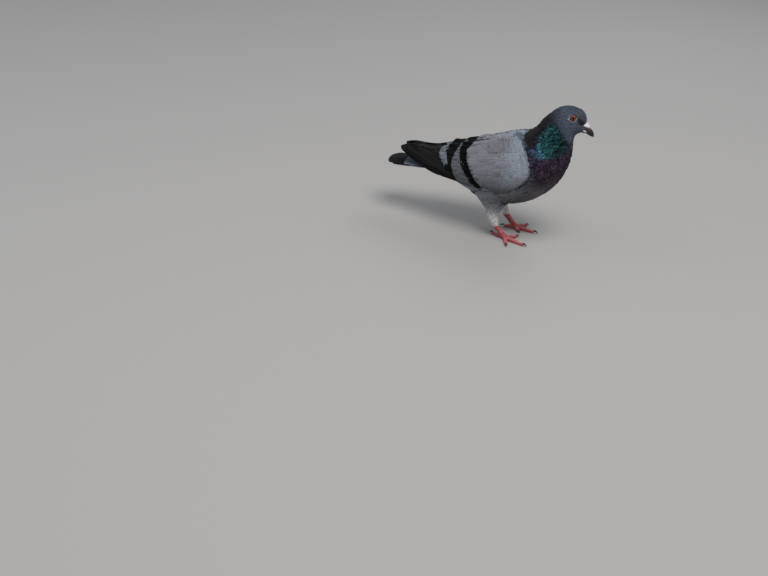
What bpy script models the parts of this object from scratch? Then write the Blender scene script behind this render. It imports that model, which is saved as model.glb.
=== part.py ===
"""Life-size blue-bar pigeon, standing still with its wings folded.

The bird faces +X and its right side is -Y.  It is laid out about a point on the floor midway
between its feet, and recentre() then moves the origin to the middle of its bounding box's base.
All sizes below are millimetres; MM turns them into the scene's metres.
"""

from math import cos, pi, radians, sin, sqrt

import bmesh
import bpy
from mathutils import Matrix, Vector

MM = 0.001
GAP = 0.32  # clearance kept wherever two pieces meet

# ---------------------------------------------------------------------------------------------
# The body: head, neck and trunk are one loft through upright sections.  Each section lies in the
# plane through its back point and its belly point: back (x, z), belly (x, z), half width, and
# egg, which makes the section widest below the middle when positive.  The wings lie on it.
BODY_SECTIONS = [
    # back            belly             half  egg
    ((-162.5, 90.5), (-161.0, 83.5), 12.0, 0.00),  # wing tips, where only the wings follow it
    ((-140.0, 92.8), (-138.5, 68.0), 18.0, 0.00),  # wings over the tail
    ((-113.8, 96.5), (-109.4, 58.0), 28.0, 0.05),  # root of the tail
    ((-89.0, 107.0), (-85.0, 52.0), 33.0, 0.08),  # rump and vent
    ((-64.0, 116.2), (-58.0, 46.0), 36.0, 0.08),  # loin
    ((-38.0, 126.0), (-32.0, 43.5), 38.0, 0.08),  # mid back
    ((-14.0, 136.0), (-8.0, 43.0), 39.5, 0.08),  # belly over the legs
    ((2.0, 142.8), (15.0, 50.5), 39.5, 0.10),  # shoulders
    ((9.0, 147.6), (36.0, 66.0), 38.0, 0.12),  # front of the wing
    ((13.8, 153.5), (51.0, 85.5), 33.5, 0.12),  # crop
    ((18.8, 160.4), (58.5, 106.0), 27.0, 0.08),  # base of the neck
    ((24.8, 167.4), (60.4, 124.0), 21.0, 0.04),  # neck
    ((31.5, 174.4), (59.6, 138.5), 16.4, 0.00),  # top of the neck
    ((39.0, 180.4), (60.4, 147.2), 13.4, -0.02),  # nape and throat
    ((47.5, 183.6), (63.6, 151.0), 11.7, 0.00),  # crown and cheeks
    ((56.5, 183.0), (67.0, 153.2), 10.7, -0.02),  # eyes
    ((64.4, 179.2), (69.2, 154.4), 8.9, -0.02),  # forehead
    ((69.6, 173.4), (70.6, 155.2), 6.6, 0.02),  # lores
    ((71.6, 167.6), (71.2, 156.0), 4.4, 0.02),  # face round the bill
]
TAIL_ROOT, NECK_BASE, HEAD_BASE, FACE = 2.0, 9.3, 12.55, 18.0  # where the loft is parted
# Behind the legs the trunk draws in from under the wings: half width, back and belly.
SLIM_FROM, SLIM = 5.2, (12.0, 4.5, 9.0)
AROUND = 26  # points round each ring
TRUNK_RINGS, NECK_RINGS, HEAD_RINGS = 16, 8, 14

# Wings: a shell on the body's flank.  Its top and bottom edges are angles round the section,
# from 0 on the back to 180 on the belly, at stations from the tip to the bend in front.
WING_TIP, WING_PART, WING_FRONT = 0.0, 2.55, 7.85
WING_PART_SLANT = 1.05  # how much further forward the shield ends along the lower edge
WING_TOP = [
    (0.0, 34.0), (0.4, 22.0), (1.0, 14.0), (2.0, 10.0), (3.0, 8.0), (5.0, 10.0),
    (6.0, 14.0), (6.6, 25.0), (7.1, 42.0), (7.6, 62.0), (7.85, 82.0),
]
WING_BOTTOM = [
    (0.0, 70.0), (0.4, 84.0), (1.0, 96.0), (2.0, 114.0), (3.0, 116.0), (4.0, 114.0),
    (5.0, 118.0), (6.0, 118.0), (6.7, 112.0), (7.4, 105.0), (7.85, 94.0),
]
WING_THICK = [(0.0, 0.8), (1.0, 1.4), (2.5, 2.6), (4.0, 4.6), (6.0, 5.2), (7.2, 3.8), (7.85, 1.6)]
WING_EDGE = 0.7
SHIELD_RINGS, FLIGHT_RINGS, WING_ROWS = 17, 11, 10

# Tail: flat, slightly arched, rounded at the end, thick at its root where the coverts lie.
TAIL_START, TAIL_TIP = (-112.4, 76.6), (-180.4, 64.4)
TAIL_HALF_ROOT, TAIL_HALF_END = 14.5, 20.5
TAIL_ROOT_HIGH, TAIL_ROOT_DEEP = 9.0, 8.5
TAIL_THIN = 0.8
TAIL_ARCH = 1.6
TAIL_RINGS = 15

# Eyes: oblate balls let into round sockets on each side of the head.
EYE_AT = (56.3, 171.8)
EYE_RADIUS, EYE_DEPTH = 4.6, 4.0
EYE_OUT = 7.7  # from the midline to the middle of the ball

# Bill: stations from the face to the tip, each an outer point (x, z), a point on the gape line
# (x, z) and a half width, for the upper half, then the lower; and the cere over the nostrils.
UPPER_BILL = [
    ((71.9, 164.9), (71.9, 159.0), 3.9),
    ((75.0, 163.3), (74.4, 158.2), 3.5),
    ((77.9, 161.0), (77.0, 157.0), 2.9),
    ((80.9, 158.0), (79.6, 155.3), 2.2),
    ((82.6, 155.0), (81.4, 153.5), 1.4),
    ((83.0, 152.2), (82.5, 151.8), 0.5),
]
LOWER_BILL = [
    ((71.9, 155.2), (71.9, 159.0), 3.7),
    ((74.4, 154.7), (74.4, 158.2), 3.3),
    ((77.0, 153.6), (77.0, 157.0), 2.6),
    ((79.4, 152.6), (79.2, 155.5), 1.9),
    ((80.9, 152.3), (80.8, 154.1), 1.2),
    ((81.9, 152.5), (81.9, 153.1), 0.5),
]
CERE_AT, CERE_RADII, CERE_TILT = (73.6, 163.7), (4.7, 3.9, 3.1), 12.0

# Legs, for the right side; the left one mirrors them.
THIGH_PATH = [
    (-27.0, 20.5, 62.0),
    (-28.5, 21.5, 46.0),
    (-24.6, 22.6, 33.0),
    (-19.8, 23.0, 23.0),
    (-15.6, 23.2, 13.6),
]
THIGH_LONG = [23.0, 15.6, 10.2, 5.9, 3.6]
THIGH_WIDE = [14.0, 11.5, 8.6, 5.6, 3.6]
SHANK_TOP = (-17.6, 23.2, 17.0)
SHANK_RADIUS_TOP, SHANK_RADIUS_FOOT = 3.0, 2.7
ANKLE_CUT, FOOT_CUT = 15.2, 6.0  # heights at which the shank meets the thigh and the foot
FOOT_PAD_RADIUS, FOOT_PAD_HIGH = 4.2, 2.6
SHANK_BACK = 1.0  # how far behind the middle of the pad the shank comes down
ANKLE_RADII = [2.9, 2.8]  # stub of the shank that belongs to the foot
# Where each foot stands (x, distance from the midline), and its toes: heading from straight
# ahead (outwards positive) and length with the claw.
FEET = {
    "right": (
        (-2.6, 22.0),
        {"inner": (-50.0, 22.8), "middle": (16.0, 33.8), "outer": (69.0, 25.4), "hind": (-157.0, 26.5)},
    ),
    "left": (
        (-1.0, 20.4),
        {"inner": (-54.0, 18.5), "middle": (-5.0, 32.0), "outer": (54.0, 23.5), "hind": (-167.0, 20.5)},
    ),
}
# Radius of each toe at its root and its tip, and the length of its claw.
TOES = {
    "inner": (2.3, 1.55, 4.8),
    "middle": (2.5, 1.65, 6.4),
    "outer": (2.3, 1.55, 5.0),
    "hind": (2.2, 1.5, 5.6),
}
TOE_SINK = 0.45  # how far below the floor the round toes would reach before they are cut flat
TOE_RINGS, TOE_AROUND = 8, 8

SIDES = {"right": -1.0, "left": 1.0}

COLOURS = {
    # name: (red, green, blue, roughness, metallic)
    "slate_plumage": (0.060, 0.068, 0.088, 0.75, 0.0),
    "neck_plumage": (0.022, 0.085, 0.075, 0.45, 0.3),
    "grey_plumage": (0.150, 0.160, 0.180, 0.80, 0.0),
    "wing_plumage": (0.240, 0.250, 0.275, 0.80, 0.0),
    "flight_plumage": (0.018, 0.017, 0.019, 0.70, 0.0),
    "thigh_plumage": (0.330, 0.340, 0.360, 0.85, 0.0),
    "foot_scale": (0.420, 0.045, 0.055, 0.50, 0.0),
    "claw_horn": (0.016, 0.014, 0.014, 0.35, 0.0),
    "bill_horn": (0.022, 0.019, 0.022, 0.40, 0.0),
    "cere_skin": (0.620, 0.560, 0.570, 0.60, 0.0),
    "eye_orange": (0.400, 0.080, 0.020, 0.08, 0.0),
}


# ---------------------------------------------------------------------------------------------
# Small helpers.
def clear_scene():
    for old in list(bpy.data.objects):
        bpy.data.objects.remove(old)


def material(name):
    """One Principled material per finish, made the first time it is asked for."""
    if name in bpy.data.materials:
        return bpy.data.materials[name]
    red, green, blue, roughness, metallic = COLOURS[name]
    made = bpy.data.materials.new(name)
    made.use_nodes = True
    shader = made.node_tree.nodes["Principled BSDF"]
    shader.inputs["Base Color"].default_value = (red, green, blue, 1.0)
    shader.inputs["Roughness"].default_value = roughness
    shader.inputs["Metallic"].default_value = metallic
    made.diffuse_color = (red, green, blue, 1.0)
    return made


def add_object(name, mesh, finish):
    mesh.materials.append(material(finish))
    mesh.shade_smooth()
    mesh.set_sharp_from_angle(angle=radians(40))
    placed = bpy.data.objects.new(name, mesh)
    bpy.context.scene.collection.objects.link(placed)
    return placed


def catmull(values, u):
    """Smooth curve through values, which sit at u = 0, 1, 2 and so on."""
    last = len(values) - 1
    i = min(max(int(u), 0), last - 1)
    t = u - i
    a, b, c, d = (values[min(max(k, 0), last)] for k in (i - 1, i, i + 1, i + 2))
    return b + 0.5 * t * (c - a + t * (2 * a - 5 * b + 4 * c - d + t * (3 * (b - c) + d - a)))


def ramp(pairs, u):
    """Smoothly eased line through (u, value) pairs."""
    if u <= pairs[0][0]:
        return pairs[0][1]
    for (u0, v0), (u1, v1) in zip(pairs, pairs[1:]):
        if u <= u1:
            t = (u - u0) / (u1 - u0)
            return v0 + (v1 - v0) * t * t * (3 - 2 * t)
    return pairs[-1][1]


def spaced(start, end, count):
    return [start + (end - start) * i / (count - 1) for i in range(count)]


def mesh_from_rings(name, rings):
    """A closed mesh through rings of points, each end filled with rungs from side to side."""
    bm = bmesh.new()
    rows = [[bm.verts.new(Vector(p) * MM) for p in ring] for ring in rings]
    count = len(rings[0])
    for near, far in zip(rows, rows[1:]):
        for k in range(count):
            bm.faces.new((near[k], near[(k + 1) % count], far[(k + 1) % count], far[k]))
    for row in (rows[0], rows[-1]):
        for k in range((count - 1) // 2):
            rung = (row[k], row[k + 1], row[count - 2 - k], row[count - 1 - k])
            bm.faces.new(rung if rung[1] is not rung[2] else rung[:2] + rung[3:])
    bmesh.ops.recalc_face_normals(bm, faces=bm.faces)
    if bm.calc_volume(signed=True) < 0:
        bmesh.ops.reverse_faces(bm, faces=bm.faces)
    mesh = bpy.data.meshes.new(name)
    bm.to_mesh(mesh)
    bm.free()
    return mesh


def cut_with(target, cutter, operation="DIFFERENCE"):
    """Adds a Boolean by a helper, which is hidden from the render and so isn't a piece."""
    cutter.hide_render = True
    cutter.display_type = "WIRE"
    boolean = target.modifiers.new(cutter.name, "BOOLEAN")
    boolean.operation = operation
    boolean.solver = "EXACT"
    boolean.object = cutter


def ball(name, centre, radii, segments, rings):
    bm = bmesh.new()
    bmesh.ops.create_uvsphere(bm, u_segments=segments, v_segments=rings, radius=1.0)
    # The poles lie across the bird, so that the front of an eye has even faces.
    turn = Matrix.Rotation(pi / 2, 4, "X")
    size = Matrix.Diagonal((*[r * MM for r in radii], 1.0))
    bmesh.ops.transform(bm, matrix=Matrix.Translation(Vector(centre) * MM) @ size @ turn, verts=bm.verts)
    mesh = bpy.data.meshes.new(name)
    bm.to_mesh(mesh)
    bm.free()
    return mesh


# ---------------------------------------------------------------------------------------------
# The body's surface.
def section(u):
    return [catmull([row[i][j] for row in BODY_SECTIONS], u) for i in (0, 1) for j in (0, 1)] + [
        catmull([row[i] for row in BODY_SECTIONS], u) for i in (2, 3)
    ]


def body_point(u, angle, slim=False):
    """Point of the body at section u, at an angle in radians from the back; left is positive."""
    back_x, back_z, belly_x, belly_z, half, egg = section(u)
    if slim:
        draw_in = min(max((SLIM_FROM - u) / (SLIM_FROM - TAIL_ROOT), 0.0), 1.0)
        draw_in *= draw_in * (3 - 2 * draw_in)
        half -= SLIM[0] * draw_in
        back_z -= SLIM[1] * draw_in
        belly_z += SLIM[2] * draw_in
    down = (1 - cos(angle)) / 2
    side = half * sin(angle) * (1 - egg * cos(angle))
    return Vector((back_x + (belly_x - back_x) * down, side, back_z + (belly_z - back_z) * down))


def body_frame(u, angle, slim=False):
    """The point with its outward normal and how fast it moves along u."""
    step = 1e-3
    lengthwise = (body_point(u + step, angle, slim) - body_point(u - step, angle, slim)) / (2 * step)
    around = (body_point(u, angle + step, slim) - body_point(u, angle - step, slim)) / (2 * step)
    return body_point(u, angle, slim), lengthwise.cross(around).normalized(), lengthwise.length


def body_ring(u, lift=0.0, shift=0.0):
    """One ring of the body, raised by lift and moved along the body by shift."""
    ring = []
    for k in range(AROUND):
        angle = 2 * pi * k / AROUND
        point, normal, speed = body_frame(u, angle, True)
        if shift:
            point, normal, _ = body_frame(u + shift / max(speed, 1.0), angle, True)
        ring.append(point + normal * lift)
    return ring


def body_length(name, start, end, count, finish):
    """A length of the body between two sections, set back by half the gap at each end."""
    rings = []
    for i, u in enumerate(spaced(start, end, count)):
        shift = {0: GAP / 2, count - 1: -GAP / 2}.get(i, 0.0)
        rings.append(body_ring(u, 0.0, shift))
    return add_object(name, mesh_from_rings(name, rings), finish)


# ---------------------------------------------------------------------------------------------
# The pieces.
def make_body():
    body_length("trunk", TAIL_ROOT, NECK_BASE, TRUNK_RINGS, "grey_plumage")
    body_length("neck", NECK_BASE, HEAD_BASE, NECK_RINGS, "neck_plumage")
    head = body_length("head", HEAD_BASE, FACE, HEAD_RINGS, "slate_plumage")
    for side, sign in SIDES.items():
        centre = (EYE_AT[0], sign * EYE_OUT, EYE_AT[1])
        eye = ball(f"eye_{side}", centre, (EYE_RADIUS, EYE_DEPTH, EYE_RADIUS), 18, 10)
        add_object(f"eye_{side}", eye, "eye_orange")
        room = (EYE_RADIUS + GAP, EYE_DEPTH + GAP, EYE_RADIUS + GAP)
        socket = ball(f"socket_{side}", centre, room, 18, 10)
        cut_with(head, add_object(f"socket_{side}", socket, "slate_plumage"))


def wing_ring(u, side, shift=0.0):
    """Section of the folded wing: along its outside from top edge to bottom, back along its inside."""
    slant = min(max((4.6 - u) / (4.6 - WING_PART), 0.0), 1.0) * min(u / WING_PART, 1.0) * WING_PART_SLANT
    outside, inside = [], []
    for row in range(WING_ROWS):
        share = row / (WING_ROWS - 1)
        along = u + slant * share ** 2
        top, bottom = radians(ramp(WING_TOP, along)), radians(ramp(WING_BOTTOM, along))
        angle = side * (top + (bottom - top) * share)
        point, normal, speed = body_frame(along, angle)
        if shift:
            point, normal, _ = body_frame(along + shift / max(speed, 1.0), angle)
        swell = WING_EDGE + (ramp(WING_THICK, along) - WING_EDGE) * sin(pi * share) ** 0.7
        inside.append(point - normal * WING_EDGE)
        outside.append(point + normal * (GAP + swell))
    return outside + inside[::-1]


def make_wing(side, sign, body_cutter):
    """The shield of coverts and secondaries, and behind it the blade of the primaries."""
    shield = [wing_ring(u, sign) for u in spaced(WING_FRONT, WING_PART, SHIELD_RINGS)]
    shield[-1] = wing_ring(WING_PART, sign, GAP / 2)
    shell = add_object(f"wing_{side}", mesh_from_rings(f"wing_{side}", shield), "wing_plumage")
    cut_with(shell, body_cutter)
    blade = [wing_ring(u, sign) for u in spaced(WING_PART, WING_TIP, FLIGHT_RINGS)]
    blade[0] = wing_ring(WING_PART, sign, -GAP / 2)
    name = f"primaries_{side}"
    cut_with(add_object(name, mesh_from_rings(name, blade), "flight_plumage"), body_cutter)


def make_tail():
    """Sections square to the tail's line, flat and slightly arched, rounded in plan at the tip."""
    start, tip = Vector((TAIL_START[0], 0, TAIL_START[1])), Vector((TAIL_TIP[0], 0, TAIL_TIP[1]))
    line = tip - start
    up = Vector((-line.z, 0, line.x)).normalized()
    up = up if up.z > 0 else -up
    rings = []
    for i in range(TAIL_RINGS):
        share = sin(pi / 2 * i / (TAIL_RINGS - 1))
        half = TAIL_HALF_ROOT + (TAIL_HALF_END - TAIL_HALF_ROOT) * share
        half *= sqrt(max(1 - min(share, 0.985) ** 12, 0.0))
        thinning = max(0.0, 1 - share / 0.55) ** 1.5
        high = TAIL_THIN + (TAIL_ROOT_HIGH - TAIL_THIN) * thinning
        deep = TAIL_THIN + (TAIL_ROOT_DEEP - TAIL_THIN) * thinning
        ring = []
        for k in range(20):
            angle = 2 * pi * k / 20
            side, rise = cos(angle), sin(angle)
            lift = TAIL_ARCH * share * (1 - side * side) + rise * (high if rise > 0 else deep)
            ring.append(start + line * share + Vector((0, half * side, 0)) + up * lift)
        rings.append(ring)
    add_object("tail", mesh_from_rings("tail", rings), "flight_plumage")


def along_median(stations, i, u):
    """Point of the i-th of a bill's two lines, in the bird's median plane."""
    x = catmull([row[i][0] for row in stations], u)
    z = catmull([row[i][1] for row in stations], u)
    return Vector((x, 0, z))


def bill_rings(stations, set_back, count, lift=0.0):
    """D-shaped sections: flat along the gape, round on the outer side."""
    rings = []
    for u in spaced(0, len(stations) - 1, count):
        outer, inner = along_median(stations, 0, u), along_median(stations, 1, u)
        half = catmull([row[2] for row in stations], u) + lift
        height = outer - inner
        base = inner + height.normalized() * set_back
        height = height * (1 - set_back / height.length) + height.normalized() * lift
        ring = []
        for k in range(9):
            angle = pi * k / 8
            ring.append(base + Vector((0, half * cos(angle), 0)) + height * sin(angle))
        rings.append(ring)
    return rings


def make_bill():
    """Both halves of the bill, and the cere, which leaves room for the bill and the face."""
    for name, stations, count in (("bill_upper", UPPER_BILL, 12), ("bill_lower", LOWER_BILL, 10)):
        add_object(name, mesh_from_rings(name, bill_rings(stations, GAP / 2, count)), "bill_horn")
    cere = add_object("cere", ball("cere", (0, 0, 0), CERE_RADII, 16, 10), "cere_skin")
    place = Matrix.Translation(Vector((CERE_AT[0], 0, CERE_AT[1])) * MM)
    cere.data.transform(place @ Matrix.Rotation(radians(CERE_TILT), 4, "Y"))
    room = bill_rings(UPPER_BILL, -0.2, 12, 1.5 * GAP)
    cut_with(cere, add_object("bill_room", mesh_from_rings("bill_room", room), "bill_horn"))
    face = [body_ring(u, GAP) for u in spaced(HEAD_BASE, FACE, HEAD_RINGS)]
    face.append([point + Vector((GAP, 0, 0)) for point in face[-1]])
    cut_with(cere, add_object("face_room", mesh_from_rings("face_room", face), "slate_plumage"))


def round_tube(path, longs, wides, around):
    """Rings round a path, longs being half sizes in the bird's median plane and wides across it."""
    rings = []
    for i, point in enumerate(path):
        ahead, behind = path[min(i + 1, len(path) - 1)], path[max(i - 1, 0)]
        along = (Vector(ahead) - Vector(behind)).normalized()
        across = Vector((0, 1, 0)) - along * along.y
        across.normalize()
        forward = along.cross(across)
        ring = []
        for k in range(around):
            angle = 2 * pi * k / around
            ring.append(Vector(point) + forward * longs[i] * cos(angle) + across * wides[i] * sin(angle))
        rings.append(ring)
    return rings


def make_thigh(side, sign, body_cutter, below_ankle):
    """The feathered thigh, widest under the belly, trimmed to the trunk's surface."""
    count = 11
    last = len(THIGH_PATH) - 1
    path, longs, wides = [], [], []
    for u in spaced(0, last, count):
        x, out, z = (catmull([point[i] for point in THIGH_PATH], u) for i in range(3))
        path.append((x, sign * out, z))
        longs.append(catmull(THIGH_LONG, u))
        wides.append(catmull(THIGH_WIDE, u))
    name = f"thigh_{side}"
    thigh = add_object(name, mesh_from_rings(name, round_tube(path, longs, wides, 16)), "thigh_plumage")
    cut_with(thigh, body_cutter)
    cut_with(thigh, below_ankle)


def make_shank(side, sign, above_ankle, below_shank):
    x, out = FEET[side][0]
    top, foot = Vector(SHANK_TOP), Vector((x - SHANK_BACK, out, FOOT_PAD_HIGH))
    top.y *= sign
    foot.y *= sign
    radii = spaced(SHANK_RADIUS_TOP, SHANK_RADIUS_FOOT, 7)
    path = [top + (foot - top) * share for share in spaced(0, 1, 7)]
    name = f"shank_{side}"
    shank = add_object(name, mesh_from_rings(name, round_tube(path, radii, radii, 14)), "foot_scale")
    cut_with(shank, above_ankle)
    cut_with(shank, below_shank)


def slab(name, bottom, top):
    """A level block under or over the legs, to trim them with."""
    bm = bmesh.new()
    bmesh.ops.create_cube(bm, size=1.0)
    size = Matrix.Diagonal((160 * MM, 160 * MM, (top - bottom) * MM, 1.0))
    middle = Matrix.Translation((0, 0, (bottom + top) / 2 * MM))
    bmesh.ops.transform(bm, matrix=middle @ size, verts=bm.verts)
    mesh = bpy.data.meshes.new(name)
    bm.to_mesh(mesh)
    bm.free()
    return add_object(name, mesh, "foot_scale")


def toe_path(side, sign, toe):
    """Centres and radii along a toe, humped at its joints, and the direction it points."""
    (x, out), toes = FEET[side]
    heading, length = toes[toe]
    root, tip, claw = TOES[toe]
    along = Vector((cos(radians(heading)), sign * sin(radians(heading)), 0))
    start = Vector((x, sign * out, 0))
    path, radii = [], []
    for share in spaced(0.0, 1.0, TOE_RINGS):
        radius = root + (tip - root) * share
        radius *= 1 + 0.07 * cos(4 * pi * share)
        path.append(start + along * (length - claw) * share + Vector((0, 0, radius - TOE_SINK)))
        radii.append(radius * (0.72 if share == 1.0 else 1.0))
    return path, radii, along


def tube_along(path, radii, along, around):
    across = Vector((-along.y, along.x, 0))
    up = Vector((0, 0, 1))
    rings = []
    for point, radius in zip(path, radii):
        ring = []
        for k in range(around):
            angle = 2 * pi * k / around
            ring.append(Vector(point) + across * radius * cos(angle) + up * radius * sin(angle))
        rings.append(ring)
    return rings


def make_foot(side, sign, floor, above_foot):
    """Four toes joined at the pad, their soles cut flat on the floor, and a claw ahead of each."""
    x, out = FEET[side][0]
    radii = (FOOT_PAD_RADIUS, FOOT_PAD_RADIUS, FOOT_PAD_RADIUS * 0.8)
    pad = ball(f"foot_{side}", (x, sign * out, FOOT_PAD_HIGH), radii, 12, 8)
    foot = add_object(f"foot_{side}", pad, "foot_scale")
    for toe in TOES:
        path, radii, along = toe_path(side, sign, toe)
        name = f"toe_{toe}_{side}"
        rings = tube_along(path, radii, along, TOE_AROUND)
        cut_with(foot, add_object(name, mesh_from_rings(name, rings), "foot_scale"), "UNION")
        make_claw(side, toe, path[-1], radii[-1], along)
    top = Vector(SHANK_TOP)
    low = Vector((x - SHANK_BACK, out, FOOT_PAD_HIGH))
    high = low.copy()
    high += (top - low) * (FOOT_CUT + 2.5 - low.z) / (top.z - low.z)
    for point in (low, high):
        point.y *= sign
    name = f"ankle_{side}"
    ankle = mesh_from_rings(name, round_tube([low, high], ANKLE_RADII, ANKLE_RADII, 14))
    cut_with(foot, add_object(name, ankle, "foot_scale"), "UNION")
    cut_with(foot, above_foot)
    cut_with(foot, floor)


def make_claw(side, toe, toe_end, toe_radius, along):
    """A curved horn cone that arches forward and down to just above the floor."""
    length = TOES[toe][2]
    root = toe_radius * 0.80
    path, radii = [], []
    for share in spaced(0.0, 1.0, 6):
        ahead = along * (GAP + length * sin(share * 1.25) / sin(1.25))
        drop = (toe_end.z - 0.75) * (1 - cos(share * pi / 2)) if toe_end.z > 0.75 else 0.0
        path.append(toe_end + ahead + Vector((0, 0, 0.35 * sin(pi * share) - drop)))
        radii.append(root * (1 - share) ** 0.75 + 0.16)
    name = f"claw_{toe}_{side}"
    add_object(name, mesh_from_rings(name, tube_along(path, radii, along, 8)), "claw_horn")


def recentre():
    """Moves every piece and helper so that the origin is the middle of the base of the whole."""
    bpy.context.view_layer.update()
    graph = bpy.context.evaluated_depsgraph_get()
    corners = []
    for piece in bpy.context.scene.objects:
        if not piece.hide_render:
            evaluated = piece.evaluated_get(graph)
            corners += [vertex.co.copy() for vertex in evaluated.data.vertices]
    low = Vector([min(c[i] for c in corners) for i in range(3)])
    high = Vector([max(c[i] for c in corners) for i in range(3)])
    shift = Matrix.Translation((-(low.x + high.x) / 2, -(low.y + high.y) / 2, -low.z))
    for mesh in bpy.data.meshes:
        mesh.transform(shift)


def build():
    clear_scene()
    make_body()
    cutter_rings = [body_ring(u, GAP) for u in spaced(TAIL_ROOT, NECK_BASE, TRUNK_RINGS)]
    cutter = mesh_from_rings("trunk_room", cutter_rings)
    body_cutter = add_object("trunk_room", cutter, "grey_plumage")
    floor = slab("under_floor", -20, 0)
    above_foot = slab("above_foot", FOOT_CUT, 40)
    below_shank = slab("below_shank", -20, FOOT_CUT + GAP)
    above_ankle = slab("above_ankle", ANKLE_CUT, 40)
    below_ankle = slab("below_ankle", -20, ANKLE_CUT + GAP)
    make_tail()
    make_bill()
    for side, sign in SIDES.items():
        make_wing(side, sign, body_cutter)
        make_thigh(side, sign, body_cutter, below_ankle)
        make_shank(side, sign, above_ankle, below_shank)
        make_foot(side, sign, floor, above_foot)
    recentre()


build()
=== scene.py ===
import math

import bmesh
import bpy
import numpy as np
from mathutils import Matrix, Vector
from mathutils.bvhtree import BVHTree


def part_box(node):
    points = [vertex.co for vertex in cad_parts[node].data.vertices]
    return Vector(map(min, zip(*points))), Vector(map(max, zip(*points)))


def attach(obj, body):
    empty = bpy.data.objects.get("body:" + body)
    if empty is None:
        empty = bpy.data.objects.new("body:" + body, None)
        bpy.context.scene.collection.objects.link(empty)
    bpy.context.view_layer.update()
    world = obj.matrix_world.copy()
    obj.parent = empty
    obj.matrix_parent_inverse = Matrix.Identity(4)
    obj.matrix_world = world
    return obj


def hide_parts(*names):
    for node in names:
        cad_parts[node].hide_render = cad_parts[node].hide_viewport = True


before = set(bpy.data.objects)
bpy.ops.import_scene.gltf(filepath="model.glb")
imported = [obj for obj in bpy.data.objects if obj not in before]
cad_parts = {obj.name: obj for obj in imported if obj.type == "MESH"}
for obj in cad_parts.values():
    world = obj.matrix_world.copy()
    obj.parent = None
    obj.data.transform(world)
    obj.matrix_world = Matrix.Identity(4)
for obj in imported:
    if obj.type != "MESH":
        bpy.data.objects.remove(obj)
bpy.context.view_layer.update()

print("stage: frame loaded")

# The bird's own lines are in millimetres, with x counted from the middle of the stance.
stanceX, stanceY = 48.912, 1.034  # from there to the solids' origin
stance = np.array([stanceX, stanceY, 0])
bodyForm = {
    # back (x, z), belly (x, z), half width, egg: from the wing tips forward to the face
    "lines": [
        ((-162.5, 90.5), (-161.0, 83.5), 12.0, 0.00),
        ((-140.0, 92.8), (-138.5, 68.0), 18.0, 0.00),
        ((-113.8, 96.5), (-109.4, 58.0), 28.0, 0.05),
        ((-89.0, 107.0), (-85.0, 52.0), 33.0, 0.08),
        ((-64.0, 116.2), (-58.0, 46.0), 36.0, 0.08),
        ((-38.0, 126.0), (-32.0, 43.5), 38.0, 0.08),
        ((-14.0, 136.0), (-8.0, 43.0), 39.5, 0.08),
        ((2.0, 142.8), (15.0, 50.5), 39.5, 0.10),
        ((9.0, 147.6), (36.0, 66.0), 38.0, 0.12),
        ((13.8, 153.5), (51.0, 85.5), 33.5, 0.12),
        ((18.8, 160.4), (58.5, 106.0), 27.0, 0.08),
        ((24.8, 167.4), (60.4, 124.0), 21.0, 0.04),
        ((31.5, 174.4), (59.6, 138.5), 16.4, 0.00),
        ((39.0, 180.4), (60.4, 147.2), 13.4, -0.02),
        ((47.5, 183.6), (63.6, 151.0), 11.7, 0.00),
        ((56.5, 183.0), (67.0, 153.2), 10.7, -0.02),
        ((64.4, 179.2), (69.2, 154.4), 8.9, -0.02),
        ((69.6, 173.4), (70.6, 155.2), 6.6, 0.02),
        ((71.6, 167.6), (71.2, 156.0), 4.4, 0.02),
    ],
    "eyeAt": (56.3, 171.8), "eyeRadius": 4.6, "eyeOut": 7.7, "billRoot": (72.6, 0, 160.6),
    "axisHeight": 86.0,  # of the line that angles round the wings and the back are counted about
}
backPoints, bellyPoints = (np.array([row[i] for row in bodyForm["lines"]]) + [stanceX, 0] for i in (0, 1))
halfWidths, eggs = (np.array([row[i] for row in bodyForm["lines"]]) for i in (2, 3))
lastLine = len(halfWidths) - 1
downSpan = bellyPoints - backPoints
downLength = np.linalg.norm(downSpan, axis=1)
downUnit = downSpan / downLength[:, None]
aheadUnit = np.stack([-downUnit[:, 1], downUnit[:, 0]], 1)


def unit(v):
    return v / np.maximum(np.linalg.norm(v, axis=-1, keepdims=True), 1e-12)


def ramped(value, low, high):
    # 0 at low, 1 at high, straight between and level beyond
    return np.clip((value - low) / (high - low), 0, 1)


def bodyPlace(points):
    # place along the body, degrees round it from the back, side, and the way the feathers lie there
    p = np.asarray(points, float) * 1000.0
    across = stanceY - p[:, 1]
    offsets = p[:, None, [0, 2]] - backPoints[None]
    ahead = np.einsum("nkc,kc->nk", offsets, aheadUnit)
    down = np.einsum("nkc,kc->nk", offsets, downUnit) / downLength
    near, far = ahead[:, :-1], ahead[:, 1:]
    step = np.clip(near / np.where(np.abs(near - far) < 1e-9, 1e-9, near - far), 0.0, 1.0)
    depth = down[:, :-1] * (1 - step) + down[:, 1:] * step
    cost = np.where((near >= 0) & (far < 0), np.abs(depth - 0.5), 9.0)
    pick = np.argmin(cost, 1)
    rows = np.arange(len(p))
    none = cost[rows, pick] > 8
    front = none & (ahead[:, -1] >= 0)
    pick = np.where(front, lastLine - 1, np.where(none, 0, pick))
    step = np.where(front, 1.0, np.where(none, 0.0, step[rows, pick]))
    depth = down[rows, pick] * (1 - step) + down[rows, pick + 1] * step
    half = halfWidths[pick] * (1 - step) + halfWidths[pick + 1] * step
    way = unit(aheadUnit[pick] * (1 - step)[:, None] + aheadUnit[pick + 1] * step[:, None])
    around = np.degrees(np.arctan2(np.abs(across) / half, 1 - 2 * depth))
    lie = np.stack([-way[:, 0], np.zeros(len(p)), -way[:, 1]], 1)
    return pick + step, around, np.sign(across + 1e-9), lie


def placeOf(points):
    return np.stack(bodyPlace(points)[:3], 1)


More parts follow.
